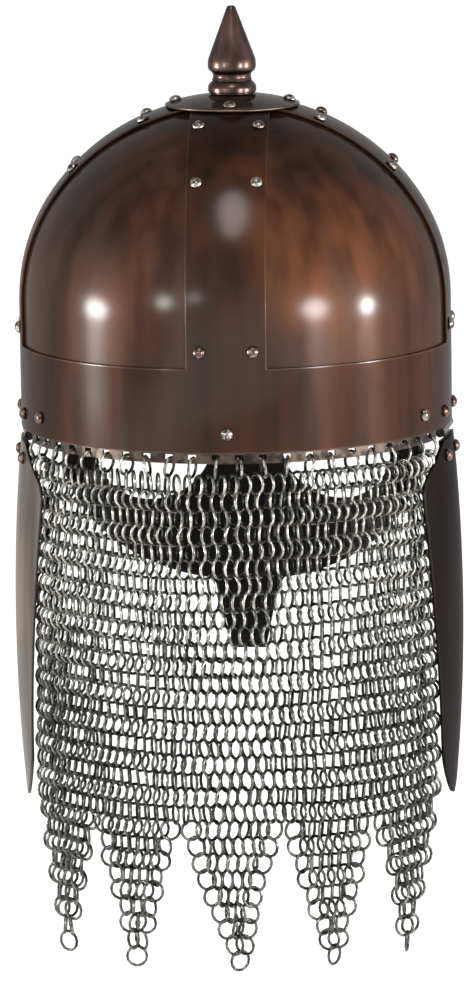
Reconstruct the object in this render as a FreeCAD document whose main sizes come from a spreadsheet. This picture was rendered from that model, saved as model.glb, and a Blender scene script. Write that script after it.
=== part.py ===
import FreeCAD, Part

import math
import os
import re

import Sketcher
from FreeCAD import Placement, Rotation, Vector

# Frame: origin at the centre of the head opening, in the plane of the brow band's lower edge.
# +Z is up, the face looks along -Y and the wearer's left is +X. Lengths are in millimetres.

SIZES = (
    # Skull
    ("skull_radius", 104.0, "outer radius of the brow band and of the bands' walls"),
    ("wall_height", 60.0, "height of the upright wall above the lower edge"),
    ("shoulder_inset", 12.0, "distance of the shoulder's centre from the axis, in section"),
    ("crown_lift", 5.0, "how far the dome rises above the shoulder's radius"),
    ("frame_thickness", 1.6, "sheet of the brow band and the bands"),
    ("panel_thickness", 1.2, "sheet of the four panels"),
    ("lap_gap", 0.1, "space between two lapped sheets"),
    ("brow_height", 40.0, "height of the brow band"),
    ("band_width", 38.0, "width of a band"),
    ("mitre_gap", 0.3, "space between two bands' mitred ends"),
    ("panel_lap", 20.0, "how far the panels reach down behind the brow band"),
    ("panel_gap", 1.0, "space between two panels behind a band"),
    ("disc_radius", 32.5, "radius of the crown disc"),
    ("disc_thickness", 1.6, "sheet of the crown disc"),
    ("crown_rivet_radius", 27.4, "distance of the crown rivets from the middle"),
    # Rivets
    ("rivet_head_radius", 3.1, "radius of a rivet's round head"),
    ("rivet_head_height", 2.5, "height of a rivet's round head"),
    ("rivet_shank_radius", 1.5, "radius of a rivet's shank"),
    ("rivet_tail_radius", 2.5, "radius of a rivet's peened tail"),
    ("rivet_tail_height", 0.9, "height of a rivet's peened tail"),
    ("rivet_clearance", 0.05, "space round a shank in its hole"),
    ("rivet_seat", 0.06, "space under a rivet's head and tail"),
    ("rivet_edge", 8.0, "height of a band's lowest rivets above the brow band"),
    ("low_rivet_offset", 12.6, "distance of the lowest band rivets from the band's middle"),
    ("high_rivet_offset", 14.2, "distance of the other band rivets from the band's middle"),
    ("mid_rivet_share", 0.665, "share of the crown's rise where the middle rivets are"),
    ("high_rivet_share", 0.902, "share of the crown's rise where the highest rivets are"),
    # Spike
    ("finial_bead_radius", 11.6, "radius of the bead at the spike's foot"),
    ("finial_bead_height", 4.2, "height of the bead"),
    ("finial_neck_radius", 9.1, "radius of the neck"),
    ("finial_neck_height", 6.6, "height of the hollow neck"),
    ("finial_barrel_height", 6.0, "height of the barrel above the neck"),
    ("finial_tip_radius", 2.2, "radius of the spike's blunt tip"),
    ("finial_height", 41.8, "height of the whole spike"),
    ("stud_radius", 4.0, "radius of the spike's stud"),
    ("stud_length", 15.0, "length of the stud below the bead"),
    ("stud_clearance", 0.1, "space round the stud"),
    ("washer_radius", 10.0, "radius of the washer inside the crown"),
    ("washer_thickness", 1.5, "thickness of the washer"),
    ("nut_radius", 7.5, "radius of the nut over its corners"),
    ("nut_height", 6.5, "height of the nut"),
    ("seat_gap", 0.05, "space between two faces that rest on each other"),
    # Mail hanger
    ("strip_thickness", 1.2, "sheet of the slotted strip"),
    ("strip_drop", 5.0, "how far the strip shows below the brow band"),
    ("strip_rise", 16.0, "how far the strip reaches up behind the brow band"),
    ("strip_half_angle", 71.0, "degrees from the back's middle to the strip's end"),
    ("slot_width", 4.0, "width of a slot"),
    ("slot_height", 2.5, "height of a slot"),
    ("slot_edge", 1.8, "metal below a slot"),
    ("slot_pitch_angle", 6.3, "degrees from one slot to the next"),
    ("hanger_rivet_height", 9.3, "height of the rivets that hold the strip"),
    ("hanger_rivet_angle", 61.6, "degrees from the back's middle to the outer two"),
    # Mail
    ("ring_radius", 4.6, "mean radius of a mail ring"),
    ("wire_diameter", 1.2, "wire of a mail ring"),
    ("ring_pitch", 4.87, "step from ring to ring along a row"),
    ("row_pitch", 7.907, "step from row to row"),
    ("mail_outset", 0.3, "how far the mail's middle hangs outside the rings that carry it"),
    ("mail_thickness", 7.0, "thickness of the mail, whose rings lie aslant"),
    ("mail_turn_angle", 56.0, "degrees from the back's middle to where the mail turns in"),
    ("mail_turn_radius", 60.0, "plan radius of the mail's ends"),
    ("mail_gap", 0.3, "space between the mail and what carries it"),
    ("mail_open_share", 0.66, "share of the mail's width and height that its openings take"),
    ("tongue_tip_radius", 3.3, "half the width of a tongue's tip, one ring"),
    # Hinges
    ("hinge_angle", 84.0, "degrees from the back's middle to a hinge's middle"),
    ("leaf_half_width", 18.0, "half the width of a hinge leaf"),
    ("leaf_height", 15.0, "height of a hinge leaf"),
    ("leaf_thickness", 1.2, "sheet of a hinge leaf"),
    ("strap_share", 0.25, "share of a leaf's height that its straps to the knuckles cover"),
    ("barrel_radius", 2.3, "outer radius of the hinge barrel"),
    ("barrel_inset", 3.1, "distance of the pin's axis inside the skull's radius"),
    ("barrel_drop", 2.6, "distance of the pin's axis below the brow band"),
    ("knuckle_gap", 0.2, "space between two knuckles"),
    ("pin_radius", 1.25, "radius of the hinge pin"),
    ("pin_clearance", 0.05, "space round the pin in its knuckles"),
    ("hinge_rivet_spread", 15.0, "distance of a hinge's rivets from its middle"),
    ("upper_rivet_height", 7.7, "height of the upper hinge rivets"),
    ("lower_rivet_drop", 13.8, "drop of the lower hinge rivets"),
    # Cheek plates
    ("cheek_thickness", 1.6, "sheet of a cheek plate"),
    ("cheek_top_drop", 6.5, "drop of a plate's upper edge"),
    ("cheek_length", 175.5, "length of a plate"),
    ("cheek_top_half_width", 19.0, "half the width at the upper edge"),
    ("cheek_shoulder_half_width", 48.5, "half the width at the shoulders"),
    ("cheek_shoulder_drop", 24.5, "drop of the shoulders below the upper edge"),
    ("cheek_shoulder_round", 12.0, "radius of the shoulders"),
    ("cheek_shoulder_cut", 6.5, "inset of the shoulders' round at its upper end"),
    ("cheek_shoulder_cut_height", 11.5, "height of the shoulders' round"),
    ("cheek_flank_round", 700.0, "radius of the long flanks"),
    ("cheek_point_half_width", 29.0, "half the width where the point starts"),
    ("cheek_point_height", 24.0, "height of the point"),
    ("cheek_point_round", 46.0, "radius of the point's flanks"),
    ("cheek_plan_radius", 135.0, "radius of a plate in plan"),
    ("cheek_standoff", 0.3, "how far a plate's ends stand outside the skull's radius"),
    ("cheek_bow_round", 920.0, "radius of a plate's outward bow in section"),
    # Spectacle guard
    ("guard_thickness", 1.8, "sheet of the spectacle guard"),
    ("guard_side_inset", 15.0, "how far inside the skull's radius the guard's sides end"),
    ("guard_bridge_half", 6.0, "half the width of the dip over the nose"),
    ("guard_bridge_rise", 15.0, "height of the guard's upper edge over the nose"),
    ("guard_end_rise", 4.0, "height of the guard's outer upper corners"),
    ("guard_brow_round", 80.0, "radius of the upper edge over an eye"),
    ("guard_end_drop", 32.0, "drop of the guard's outer lower corners"),
    ("guard_cheek_round", 85.0, "radius of the lower edge under an eye"),
    ("guard_root_half", 18.5, "half the width at the nasal's root"),
    ("guard_root_drop", 96.0, "drop of the nasal's root"),
    ("nasal_top_half", 15.0, "half the width of the nasal's top"),
    ("nasal_top_drop", 101.0, "drop of the nasal's top"),
    ("nasal_tip_half", 8.5, "half the width of the nasal's tip"),
    ("nasal_tip_drop", 132.0, "drop of the nasal's tip"),
    ("eye_inner", 17.5, "distance of an eye's inner corner from the middle"),
    ("guard_side_width", 15.5, "width of the guard beside an eye's outer corner"),
    ("eye_drop", 31.0, "drop of the eyes' corners"),
    ("eye_flattening", 0.4, "how much larger an eye's radius is than half its width"),
    ("guard_rivet_height", 7.0, "height of the rivets that hold the guard"),
    ("guard_inner_rivet_offset", 27.4, "distance of the inner rivets from the front's middle"),
    ("guard_outer_rivet_inset", 26.0, "how far inside the skull's radius the outer rivets are"),
    # Liner
    ("liner_gap", 1.4, "space between the strip and the leather band"),
    ("leather_thickness", 2.0, "thickness of the leather"),
    ("liner_band_bottom", 3.0, "height of the leather band's lower edge"),
    ("liner_band_height", 33.0, "height of the leather band"),
    ("liner_wall_height", 45.0, "height of the liner's upright wall"),
    ("liner_shoulder_inset", 27.4, "distance of the liner's shoulder's centre from the axis"),
    ("liner_crown_lift", 10.0, "how far the liner rises above its shoulder's radius"),
    ("petal_bottom", 12.0, "height of the petals' lower edge"),
    ("petal_slit", 3.0, "width of the slits between petals"),
    ("slit_bottom", 52.0, "height where the slits start"),
    ("crown_hole_radius", 24.0, "radius of the hole between the petals' tips"),
    ("lace_radius", 1.25, "radius of the lace"),
    ("lace_loop_radius", 27.0, "radius of the lace's loop"),
    ("lace_gap", 0.3, "space between the lace and the petals"),
    # Working margins
    ("overrun", 2.0, "how far a cutting tool runs past what it cuts"),
)

SLOTS = 22
PETALS = 8
OPEN_COLUMNS = 10
OPEN_ROWS = 8
TONGUES = 5
TONGUE_RINGS = 10
FULL_ROWS = 21
KNUCKLES = 3
SIDES = (("left", 1), ("right", -1))
QUARTER_NAMES = ("back", "left", "front", "right")
PANEL_NAMES = ("back_left", "front_left", "front_right", "back_right")

os.makedirs("parts", exist_ok=True)
doc = FreeCAD.newDocument("helmet")
sheet = doc.addObject("Spreadsheet::Sheet", "Sizes")
for row, (alias, value, words) in enumerate(SIZES, start=1):
    sheet.set(f"A{row}", words)
    sheet.set(f"B{row}", str(value))
    sheet.setAlias(f"B{row}", alias)
doc.recompute()

ALIASES = {alias for alias, _, _ in SIZES}
parts = {}


def qualified(expression):
    """The expression with the sheet's name in front of each alias."""
    return re.sub(
        r"[a-z_]+", lambda m: f"Sizes.{m[0]}" if m[0] in ALIASES else m[0], expression
    )


def size(expression):
    """The number that an expression in the sheet's aliases gives."""
    return float(sheet.evalExpression(qualified(expression)))


def bind(item, **expressions):
    """Bind properties of a document object to expressions in the sheet's aliases."""
    for name, expression in expressions.items():
        item.setExpression(name, qualified(expression))


def keep(node, item):
    """Give a sub-part its node's name and list it for export."""
    item.Label = node
    parts[node] = item
    return item


# Geometry of the skull

def crown_radius(radius, rise, shoulder):
    """Radius of the crown's arc that meets the shoulder's arc and the axis squarely."""
    inset = radius - shoulder
    return (inset**2 + rise**2 - shoulder**2) / (2 * (rise - shoulder))


class Dome:
    """Section of a dome: an upright wall, a shoulder's arc and a crown's arc."""

    def __init__(self, radius, wall, rise, shoulder):
        self.radius = size(radius)
        self.wall = size(wall)
        self.rise = size(rise)
        self.shoulder = size(shoulder)
        self.crown = crown_radius(self.radius, self.rise, self.shoulder)
        self.inset = self.radius - self.shoulder
        self.crown_height = self.wall + self.rise - self.crown
        self.slope = math.atan2(self.wall - self.crown_height, self.inset)

    def shoulder_end(self, depth):
        """Where the shoulder's arc meets the crown's arc, at a depth below the surface."""
        reach = self.crown - depth
        return Vector(
            reach * math.cos(self.slope), self.crown_height + reach * math.sin(self.slope), 0
        )

    def at_height(self, height):
        """Radius at a height, and the outward normal's angle above level."""
        if height <= self.wall:
            return self.radius, 0.0
        if height <= self.shoulder_end(0).y:
            tilt = math.asin((height - self.wall) / self.shoulder)
            return self.inset + self.shoulder * math.cos(tilt), tilt
        tilt = math.asin((height - self.crown_height) / self.crown)
        return self.crown * math.cos(tilt), tilt

    def at_radius(self, radius, depth=0.0):
        """Height of the crown's arc at a radius, and the outward normal's angle."""
        tilt = math.acos(radius / (self.crown - depth))
        return self.crown_height + (self.crown - depth) * math.sin(tilt), tilt


SHOULDER_RADIUS = "(skull_radius - shoulder_inset)"
CROWN_RISE = f"({SHOULDER_RADIUS} + crown_lift)"
SKULL_EXPRESSIONS = ("skull_radius", "wall_height", CROWN_RISE, SHOULDER_RADIUS)
skull = Dome(*SKULL_EXPRESSIONS)


# Sketches and bodies

def new_body(name):
    return doc.addObject("PartDesign::Body", name)


def new_sketch(body, role, name):
    """A sketch on one of the body's own origin planes."""
    sketch = body.newObject("Sketcher::SketchObject", name)
    plane = next(item for item in body.Origin.OriginFeatures if item.Role == role)
    sketch.AttachmentSupport = [(plane, "")]
    sketch.MapMode = "FlatFace"
    return sketch


def pin_point(sketch, edge, end, across, up):
    """Tie one end of an edge to the sheet."""
    for kind, expression in (("DistanceX", across), ("DistanceY", up)):
        index = sketch.addConstraint(
            Sketcher.Constraint(kind, -1, 1, edge, end, size(expression))
        )
        sketch.setExpression(f"Constraints[{index}]", qualified(expression))


def outline(sketch, corners, rounds=None):
    """Add a closed outline of lines and arcs.

    corners holds an (across, up) pair of expressions for each corner. rounds holds, for
    the number of an edge, its arc's radius expression and +1 or -1: the side, left or
    right of the way along the edge, to which the arc swells.
    """
    rounds = rounds or {}
    spots = [Vector(size(x), size(y), 0) for x, y in corners]
    first = sketch.GeometryCount
    ends = []
    for number, start in enumerate(spots):
        stop = spots[(number + 1) % len(spots)]
        edge = first + number
        if number in rounds:
            radius, side = rounds[number]
            reach = size(radius)
            chord = stop - start
            left = Vector(-chord.y, chord.x, 0).normalize()
            swell = reach - math.sqrt(reach**2 - (chord.Length / 2) ** 2)
            middle = (start + stop) / 2 + left * (side * swell)
            sketch.addGeometry(Part.Arc(start, middle, stop))
            index = sketch.addConstraint(Sketcher.Constraint("Radius", edge, reach))
            sketch.setExpression(f"Constraints[{index}]", qualified(radius))
            flipped = side > 0
        else:
            sketch.addGeometry(Part.LineSegment(start, stop))
            flipped = False
        ends.append((2, 1) if flipped else (1, 2))
    for number, (across, up) in enumerate(corners):
        following = (number + 1) % len(corners)
        sketch.addConstraint(
            Sketcher.Constraint(
                "Coincident",
                first + number,
                ends[number][1],
                first + following,
                ends[following][0],
            )
        )
        pin_point(sketch, first + number, ends[number][0], across, up)


def revolve(body, sketch, angle=360.0):
    turned = body.newObject("PartDesign::Revolution", f"{body.Name}_turned")
    turned.Profile = sketch
    turned.ReferenceAxis = (sketch, ["V_Axis"])
    turned.Angle = angle
    return turned


def pad(body, sketch, length, midplane=False):
    raised = body.newObject("PartDesign::Pad", f"{body.Name}_pad")
    raised.Profile = sketch
    raised.SideType = "Symmetric" if midplane else "One side"
    bind(raised, Length=length)
    return raised


def dome_shell(name, dome, expressions, outer, inner, bottom):
    """A dome shell between two depths below a dome's surface, from a lower edge up."""
    radius, wall, rise, shoulder = expressions
    body = new_body(name)
    sketch = new_sketch(body, "XZ_Plane", f"{name}_section")
    first = 0
    tops = []
    for depth in (outer, inner):
        reach = f"{radius} - ({depth})"
        deep = size(depth)
        low = Vector(size(reach), size(bottom), 0)
        high = Vector(size(reach), dome.wall, 0)
        turn = dome.shoulder_end(deep)
        top = Vector(0, dome.wall + dome.rise - deep, 0)
        half = dome.slope / 2
        bend = Vector(dome.inset, dome.wall, 0) + Vector(math.cos(half), math.sin(half), 0) * (
            dome.shoulder - deep
        )
        lean = (dome.slope + math.pi / 2) / 2
        arch = Vector(0, dome.crown_height, 0) + Vector(math.cos(lean), math.sin(lean), 0) * (
            dome.crown - deep
        )
        sketch.addGeometry(Part.LineSegment(low, high))
        sketch.addGeometry(Part.Arc(high, bend, turn))
        sketch.addGeometry(Part.Arc(turn, arch, top))
        sketch.addConstraint(Sketcher.Constraint("Tangent", first, 2, first + 1, 1))
        sketch.addConstraint(Sketcher.Constraint("Tangent", first + 1, 2, first + 2, 1))
        pin_point(sketch, first, 1, reach, bottom)
        pin_point(sketch, first + 1, 3, f"{radius} - {shoulder}", wall)
        pin_point(sketch, first + 2, 2, "0", f"{wall} + {rise} - ({depth})")
        sketch.addConstraint(Sketcher.Constraint("PointOnObject", first + 2, 3, -2))
        tops.append(first + 2)
        first += 3
    sketch.addGeometry(Part.LineSegment(sketch.getPoint(tops[0], 2), sketch.getPoint(tops[1], 2)))
    sketch.addConstraint(Sketcher.Constraint("Coincident", tops[0], 2, first, 1))
    sketch.addConstraint(Sketcher.Constraint("Coincident", tops[1], 2, first, 2))
    sketch.addGeometry(Part.LineSegment(sketch.getPoint(3, 1), sketch.getPoint(0, 1)))
    sketch.addConstraint(Sketcher.Constraint("Coincident", 3, 1, first + 1, 1))
    sketch.addConstraint(Sketcher.Constraint("Coincident", 0, 1, first + 1, 2))
    revolve(body, sketch)
    return body


# Solids from primitives

def cylinder(name, radius, height, place=None, angle=360.0):
    item = doc.addObject("Part::Cylinder", name)
    bind(item, Radius=radius, Height=height)
    item.Angle = angle
    item.Placement = place or Placement()
    return item


def box(name, length, width, height, corner, turn=0.0):
    """A box from a corner in the sheet's terms, turned about the Z axis."""
    item = doc.addObject("Part::Box", name)
    bind(item, Length=length, Width=width, Height=height)
    spin = Rotation(Vector(0, 0, 1), turn)
    spot = Vector(*(size(part) for part in corner))
    item.Placement = Placement(spin.multVec(spot), spin)
    return item


def cut(name, base, tool):
    item = doc.addObject("Part::Cut", name)
    item.Base = base
    item.Tool = tool
    return item


def common(name, base, tool):
    item = doc.addObject("Part::Common", name)
    item.Base = base
    item.Tool = tool
    return item


def fuse(name, shapes):
    item = doc.addObject("Part::MultiFuse", name)
    item.Shapes = shapes
    return item


def turned(item, angle):
    """Turn a finished item about the helmet's axis."""
    spin = Placement(Vector(), Rotation(Vector(0, 0, 1), angle))
    item.Placement = spin.multiply(item.Placement)
    return item


def sector(name, outer, inner, bottom, height, half_angle, heading):
    """A piece of a round wall, centred on a heading in degrees from +X."""
    low = size(bottom)
    start = Rotation(Vector(0, 0, 1), heading - half_angle)
    solid = cylinder(
        f"{name}_outer", outer, height, Placement(Vector(0, 0, low), start), 2 * half_angle
    )
    under = Placement(Vector(0, 0, low - size("overrun")), start)
    hollow = cylinder(f"{name}_inner", inner, f"{height} + 2 * overrun", under)
    return cut(name, solid, hollow)


def ring(name, outer, inner, bottom, height):
    """A whole round wall."""
    low = size(bottom)
    solid = cylinder(f"{name}_outer", outer, height, Placement(Vector(0, 0, low), Rotation()))
    under = Placement(Vector(0, 0, low - size("overrun")), Rotation())
    hollow = cylinder(f"{name}_inner", inner, f"{height} + 2 * overrun", under)
    return cut(name, solid, hollow)


# Rivets

def heading_place(heading, lateral, radius, height, tilt=0.0):
    """Placement on a round surface: Z points out along the normal.

    lateral is measured square to the heading, and tilt is the normal's angle above level.
    """
    turn = heading + math.degrees(math.asin(lateral / radius))
    across = Rotation(Vector(0, 0, 1), turn)
    spot = across.multVec(Vector(radius, 0, height))
    lean = Rotation(Vector(0, 1, 0), 90 - math.degrees(tilt))
    return Placement(spot, across.multiply(lean))


def rivet_body(name, grip):
    """A rivet whose head sits on the plane Z = 0 and whose shank runs down its grip."""
    body = new_body(name)
    sketch = new_sketch(body, "XZ_Plane", f"{name}_section")
    tail = f"-({grip}) - rivet_seat"
    corners = [
        ("0", "rivet_seat + rivet_head_height"),
        ("0", f"{tail} - rivet_tail_height"),
        ("rivet_tail_radius", f"{tail} - rivet_tail_height"),
        ("rivet_tail_radius", tail),
        ("rivet_shank_radius", tail),
        ("rivet_shank_radius", "rivet_seat"),
        ("rivet_head_radius", "rivet_seat"),
    ]
    dome = "(rivet_head_radius ^ 2 + rivet_head_height ^ 2) / (2 * rivet_head_height)"
    outline(sketch, corners, {6: (dome, -1)})
    revolve(body, sketch)
    return body


def rivet_holes(name, places, grip):
    """Drills for a set of rivets, run past both ends of their grip."""
    tools = []
    for number, place in enumerate(places):
        start = Placement(Vector(0, 0, -size(f"{grip} + overrun")), Rotation())
        tools.append(
            cylinder(
                f"{name}_{number}",
                "rivet_shank_radius + rivet_clearance",
                f"{grip} + 2 * overrun",
                place.multiply(start),
            )
        )
    return fuse(name, tools) if len(tools) > 1 else tools[0]


def rivet_group(node, master, places):
    """One node of identical rivets."""
    group = doc.addObject("Part::Feature", node)
    solids = []
    for place in places:
        solid = master.Shape.copy()
        solid.Placement = place.multiply(master.Placement)
        solids.append(solid)
    group.Shape = Part.makeCompound(solids)
    return keep(node, group)


LAP_GRIP = "frame_thickness + lap_gap + panel_thickness"
CROWN_GRIP = f"disc_thickness + lap_gap + {LAP_GRIP}"
LINER_GRIP = "frame_thickness + lap_gap + strip_thickness + liner_gap + leather_thickness"
GUARD_GRIP = f"guard_thickness + lap_gap + {LINER_GRIP}"
CHEEK_GRIP = "cheek_thickness + lap_gap + leaf_thickness"


# Skull

def band_rivet_places(heading, sides=(-1, 1)):
    """Places of one band's rivets, on one or both sides of its middle."""
    low = size("brow_height + rivet_edge")
    middle = size(f"wall_height + mid_rivet_share * {CROWN_RISE}")
    high = size(f"wall_height + high_rivet_share * {CROWN_RISE}")
    rows = ((low, "low_rivet_offset"), (middle, "high_rivet_offset"), (high, "high_rivet_offset"))
    places = []
    for height, offset in rows:
        radius, tilt = skull.at_height(height)
        for side in sides:
            places.append(heading_place(heading, side * size(offset), radius, height, tilt))
    return places


def crown_rivet_places():
    radius = size("crown_rivet_radius")
    height, tilt = skull.at_radius(radius, -size("lap_gap + disc_thickness"))
    return [heading_place(90 * quarter, 0, radius, height, tilt) for quarter in range(4)]


def stud_hole(name):
    under = Placement(Vector(0, 0, size("wall_height")), Rotation())
    return cylinder(name, "stud_radius + stud_clearance", f"{CROWN_RISE} + overrun", under)


def level_place(heading, radius, height):
    return heading_place(heading, 0, size(radius), size(height))


def hanger_rivet_places():
    spread = size("hanger_rivet_angle")
    return [
        level_place(90 + turn * spread, "skull_radius", "hanger_rivet_height")
        for turn in (-1, 0, 1)
    ]


def guard_rivet_places():
    radius = size("skull_radius + lap_gap + guard_thickness")
    height = size("guard_rivet_height")
    offsets = (size("guard_inner_rivet_offset"), size("skull_radius - guard_outer_rivet_inset"))
    return [
        heading_place(-90, side * offset, radius, height) for offset in offsets for side in (1, -1)
    ]


def upper_hinge_rivet_places(heading):
    return [
        heading_place(
            heading,
            side * size("hinge_rivet_spread"),
            size("skull_radius"),
            size("upper_rivet_height"),
        )
        for side in (-1, 1)
    ]


def hinge_heading(side):
    """Heading of a hinge's middle in degrees from +X, for side +1 (left) or -1 (right)."""
    return 90 - side * size("hinge_angle")


def build_brow_band():
    wall = ring("brow_wall", "skull_radius", "skull_radius - frame_thickness", "0", "brow_height")
    places = hanger_rivet_places() + guard_rivet_places()
    for _, side in SIDES:
        places += upper_hinge_rivet_places(hinge_heading(side))
    keep("brow_band", cut("brow_band", wall, rivet_holes("brow_holes", places, GUARD_GRIP)))


def build_bands():
    shell = dome_shell(
        "frame_shell", skull, SKULL_EXPRESSIONS, "0", "frame_thickness", "brow_height"
    )
    plan = new_body("band_plan")
    corners = [
        ("mitre_gap", "0"),
        ("mitre_gap + band_width / 2", "band_width / 2"),
        ("skull_radius + overrun", "band_width / 2"),
        ("skull_radius + overrun", "-band_width / 2"),
        ("mitre_gap + band_width / 2", "-band_width / 2"),
    ]
    outline(new_sketch(plan, "XY_Plane", "band_plan_outline"), corners)
    pad(plan, plan.Group[0], f"wall_height + {CROWN_RISE} + overrun")
    blank = common("band_blank", shell, plan)
    crown = crown_rivet_places()[0]
    holes = fuse(
        "band_holes",
        [
            rivet_holes("band_rivet_holes", band_rivet_places(0), LAP_GRIP),
            rivet_holes("band_crown_hole", [crown], CROWN_GRIP),
            stud_hole("band_stud_hole"),
        ],
    )
    for quarter, name in enumerate(QUARTER_NAMES):
        band = cut(f"{name}_band", blank, holes)
        turned(band, 90 - 90 * quarter)
        keep(f"{name}_band", band)


def build_panels():
    outer = "frame_thickness + lap_gap"
    bottom = "brow_height - panel_lap"
    shell = dome_shell(
        "panel_shell", skull, SKULL_EXPRESSIONS, outer, f"{outer} + panel_thickness", bottom
    )
    reach = "skull_radius + overrun"
    corner = ("panel_gap / 2", "panel_gap / 2", "0")
    quarter_box = box("panel_plan", reach, reach, f"wall_height + {CROWN_RISE} + overrun", corner)
    blank = common("panel_blank", shell, quarter_box)
    places = band_rivet_places(0, (1,)) + band_rivet_places(90, (-1,))
    holes = fuse(
        "panel_holes",
        [
            rivet_holes("panel_rivet_holes", places, LAP_GRIP),
            rivet_holes("panel_crown_holes", crown_rivet_places()[:2], CROWN_GRIP),
            stud_hole("panel_stud_hole"),
        ],
    )
    for quarter, name in enumerate(PANEL_NAMES):
        panel = cut(f"skull_panel_{name}", blank, holes)
        turned(panel, -90 * quarter)
        keep(f"skull_panel_{name}", panel)


def build_crown_disc():
    shell = dome_shell(
        "disc_shell",
        skull,
        SKULL_EXPRESSIONS,
        "-lap_gap - disc_thickness",
        "-lap_gap",
        "wall_height - overrun",
    )
    up = Placement(Vector(0, 0, size("wall_height")), Rotation())
    rise = f"{CROWN_RISE} + 2 * overrun"
    plan = cylinder("disc_plan", "disc_radius", rise, up)
    blank = common("disc_blank", shell, plan)
    holes = fuse(
        "disc_holes",
        [
            rivet_holes("disc_rivet_holes", crown_rivet_places(), CROWN_GRIP),
            cylinder("disc_stud_hole", "stud_radius + stud_clearance", rise, up),
        ],
    )
    keep("crown_disc", cut("crown_disc", blank, holes))


def build_finial():
    body = new_body("finial")
    sketch = new_sketch(body, "XZ_Plane", "finial_section")
    bead = "finial_bead_height"
    neck = f"{bead} + finial_neck_height"
    barrel = f"{neck} + finial_barrel_height"
    corners = [
        ("0", "-stud_length"),
        ("stud_radius", "-stud_length"),
        ("stud_radius", "0"),
        ("finial_bead_radius", "0"),
        ("finial_bead_radius", bead),
        ("finial_bead_radius", neck),
        ("finial_bead_radius", barrel),
        ("finial_tip_radius", "finial_height"),
        ("0", "finial_height"),
    ]
    hollow = "(finial_neck_height ^ 2 / 4 + (finial_bead_radius - finial_neck_radius) ^ 2)"
    hollow = f"{hollow} / (2 * (finial_bead_radius - finial_neck_radius))"
    outline(sketch, corners, {4: (hollow, 1)})
    revolve(body, sketch)
    top = size(f"wall_height + {CROWN_RISE} + lap_gap + disc_thickness + seat_gap")
    body.Placement = Placement(Vector(0, 0, top), Rotation())
    keep("finial", body)


def build_finial_fixing():
    inner_top = skull.at_radius(size("washer_radius"), size(LAP_GRIP))[0]
    washer_low = inner_top - size("seat_gap + washer_thickness")
    low = Placement(Vector(0, 0, washer_low), Rotation())
    plate = cylinder("washer_plate", "washer_radius", "washer_thickness", low)
    under = Placement(Vector(0, 0, washer_low - size("overrun")), Rotation())
    depth = "washer_thickness + 2 * overrun"
    bore = cylinder("washer_bore", "stud_radius + stud_clearance", depth, under)
    keep("finial_washer", cut("finial_washer", plate, bore))
    nut_low = washer_low - size("seat_gap + nut_height")
    prism = doc.addObject("Part::Prism", "nut_prism")
    prism.Polygon = 6
    bind(prism, Circumradius="nut_radius", Height="nut_height")
    prism.Placement = Placement(Vector(0, 0, nut_low), Rotation())
    under = Placement(Vector(0, 0, nut_low - size("overrun")), Rotation())
    bore = cylinder("nut_bore", "stud_radius + seat_gap", "nut_height + 2 * overrun", under)
    keep("finial_nut", cut("finial_nut", prism, bore))


# Mail hanger and mail

def slot_headings():
    first = 90 - size("slot_pitch_angle") * (SLOTS - 1) / 2
    return [first + size("slot_pitch_angle") * number for number in range(SLOTS)]


STRIP_OUTER = "skull_radius - frame_thickness - lap_gap"


def build_hanger_strip():
    wall = sector(
        "strip_wall",
        STRIP_OUTER,
        f"{STRIP_OUTER} - strip_thickness",
        "-strip_drop",
        "strip_drop + strip_rise",
        size("strip_half_angle"),
        90,
    )
    start = f"{STRIP_OUTER} - strip_thickness - overrun"
    corner = (start, "-slot_width / 2", "slot_edge - strip_drop")
    depth = "strip_thickness + 2 * overrun"
    slots = [
        box(f"slot_{number}", depth, "slot_width", "slot_height", corner, heading)
        for number, heading in enumerate(slot_headings())
    ]
    holes = rivet_holes("strip_holes", hanger_rivet_places(), LINER_GRIP)
    keep("mail_hanger_strip", cut("mail_hanger_strip", wall, fuse("strip_tools", [*slots, holes])))


HANGER_RADIUS = f"{STRIP_OUTER} - strip_thickness / 2"
HANGER_RING_DROP = "strip_drop - slot_edge - wire_diameter / 2 + ring_radius - mail_gap"


def build_hanger_rings():
    """Rings that pass through the slots and hang over the strip's lower edge."""
    radius = size(HANGER_RADIUS)
    drop = size(HANGER_RING_DROP)
    rings = []
    for heading in slot_headings():
        spin = Rotation(Vector(0, 0, 1), heading)
        middle = spin.multVec(Vector(radius, 0, -drop))
        axis = spin.multVec(Vector(0, 1, 0))
        rings.append(Part.makeTorus(size("ring_radius"), size("wire_diameter / 2"), middle, axis))
    group = doc.addObject("Part::Feature", "mail_hanger_rings")
    group.Shape = Part.makeCompound(rings)
    keep("mail_hanger_rings", group)


MAIL_TOP = f"-({HANGER_RING_DROP}) - ring_radius - wire_diameter / 2 - mail_gap"
LAST_ROW = f"-({HANGER_RING_DROP}) - {FULL_ROWS} * row_pitch"
MAIL_BOTTOM = f"{LAST_ROW} - row_pitch / 2"
MAIL_HALF = f"{TONGUES * TONGUE_RINGS} * ring_pitch / 2"
MAIL_RADIUS = f"({HANGER_RADIUS} + mail_outset)"


def mail_end_angle():
    """Degrees that each end's turned-in arc covers."""
    straight = math.radians(size("mail_turn_angle")) * size(MAIL_RADIUS)
    return math.degrees((size(MAIL_HALF) - straight) / size("mail_turn_radius"))


def mail_point(along):
    """Plan point of the mail's middle at an arc length from the back's middle."""
    side = math.copysign(1, along)
    limit = math.radians(size("mail_turn_angle"))
    radius = size(MAIL_RADIUS)
    angle = abs(along) / radius
    if angle <= limit:
        return Vector(side * radius * math.sin(angle), radius * math.cos(angle), 0)
    small = size("mail_turn_radius")
    turn = limit + (abs(along) - limit * radius) / small
    x = (radius - small) * math.sin(limit) + small * math.sin(turn)
    y = (radius - small) * math.cos(limit) + small * math.cos(turn)
    return Vector(side * x, y, 0)


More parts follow.
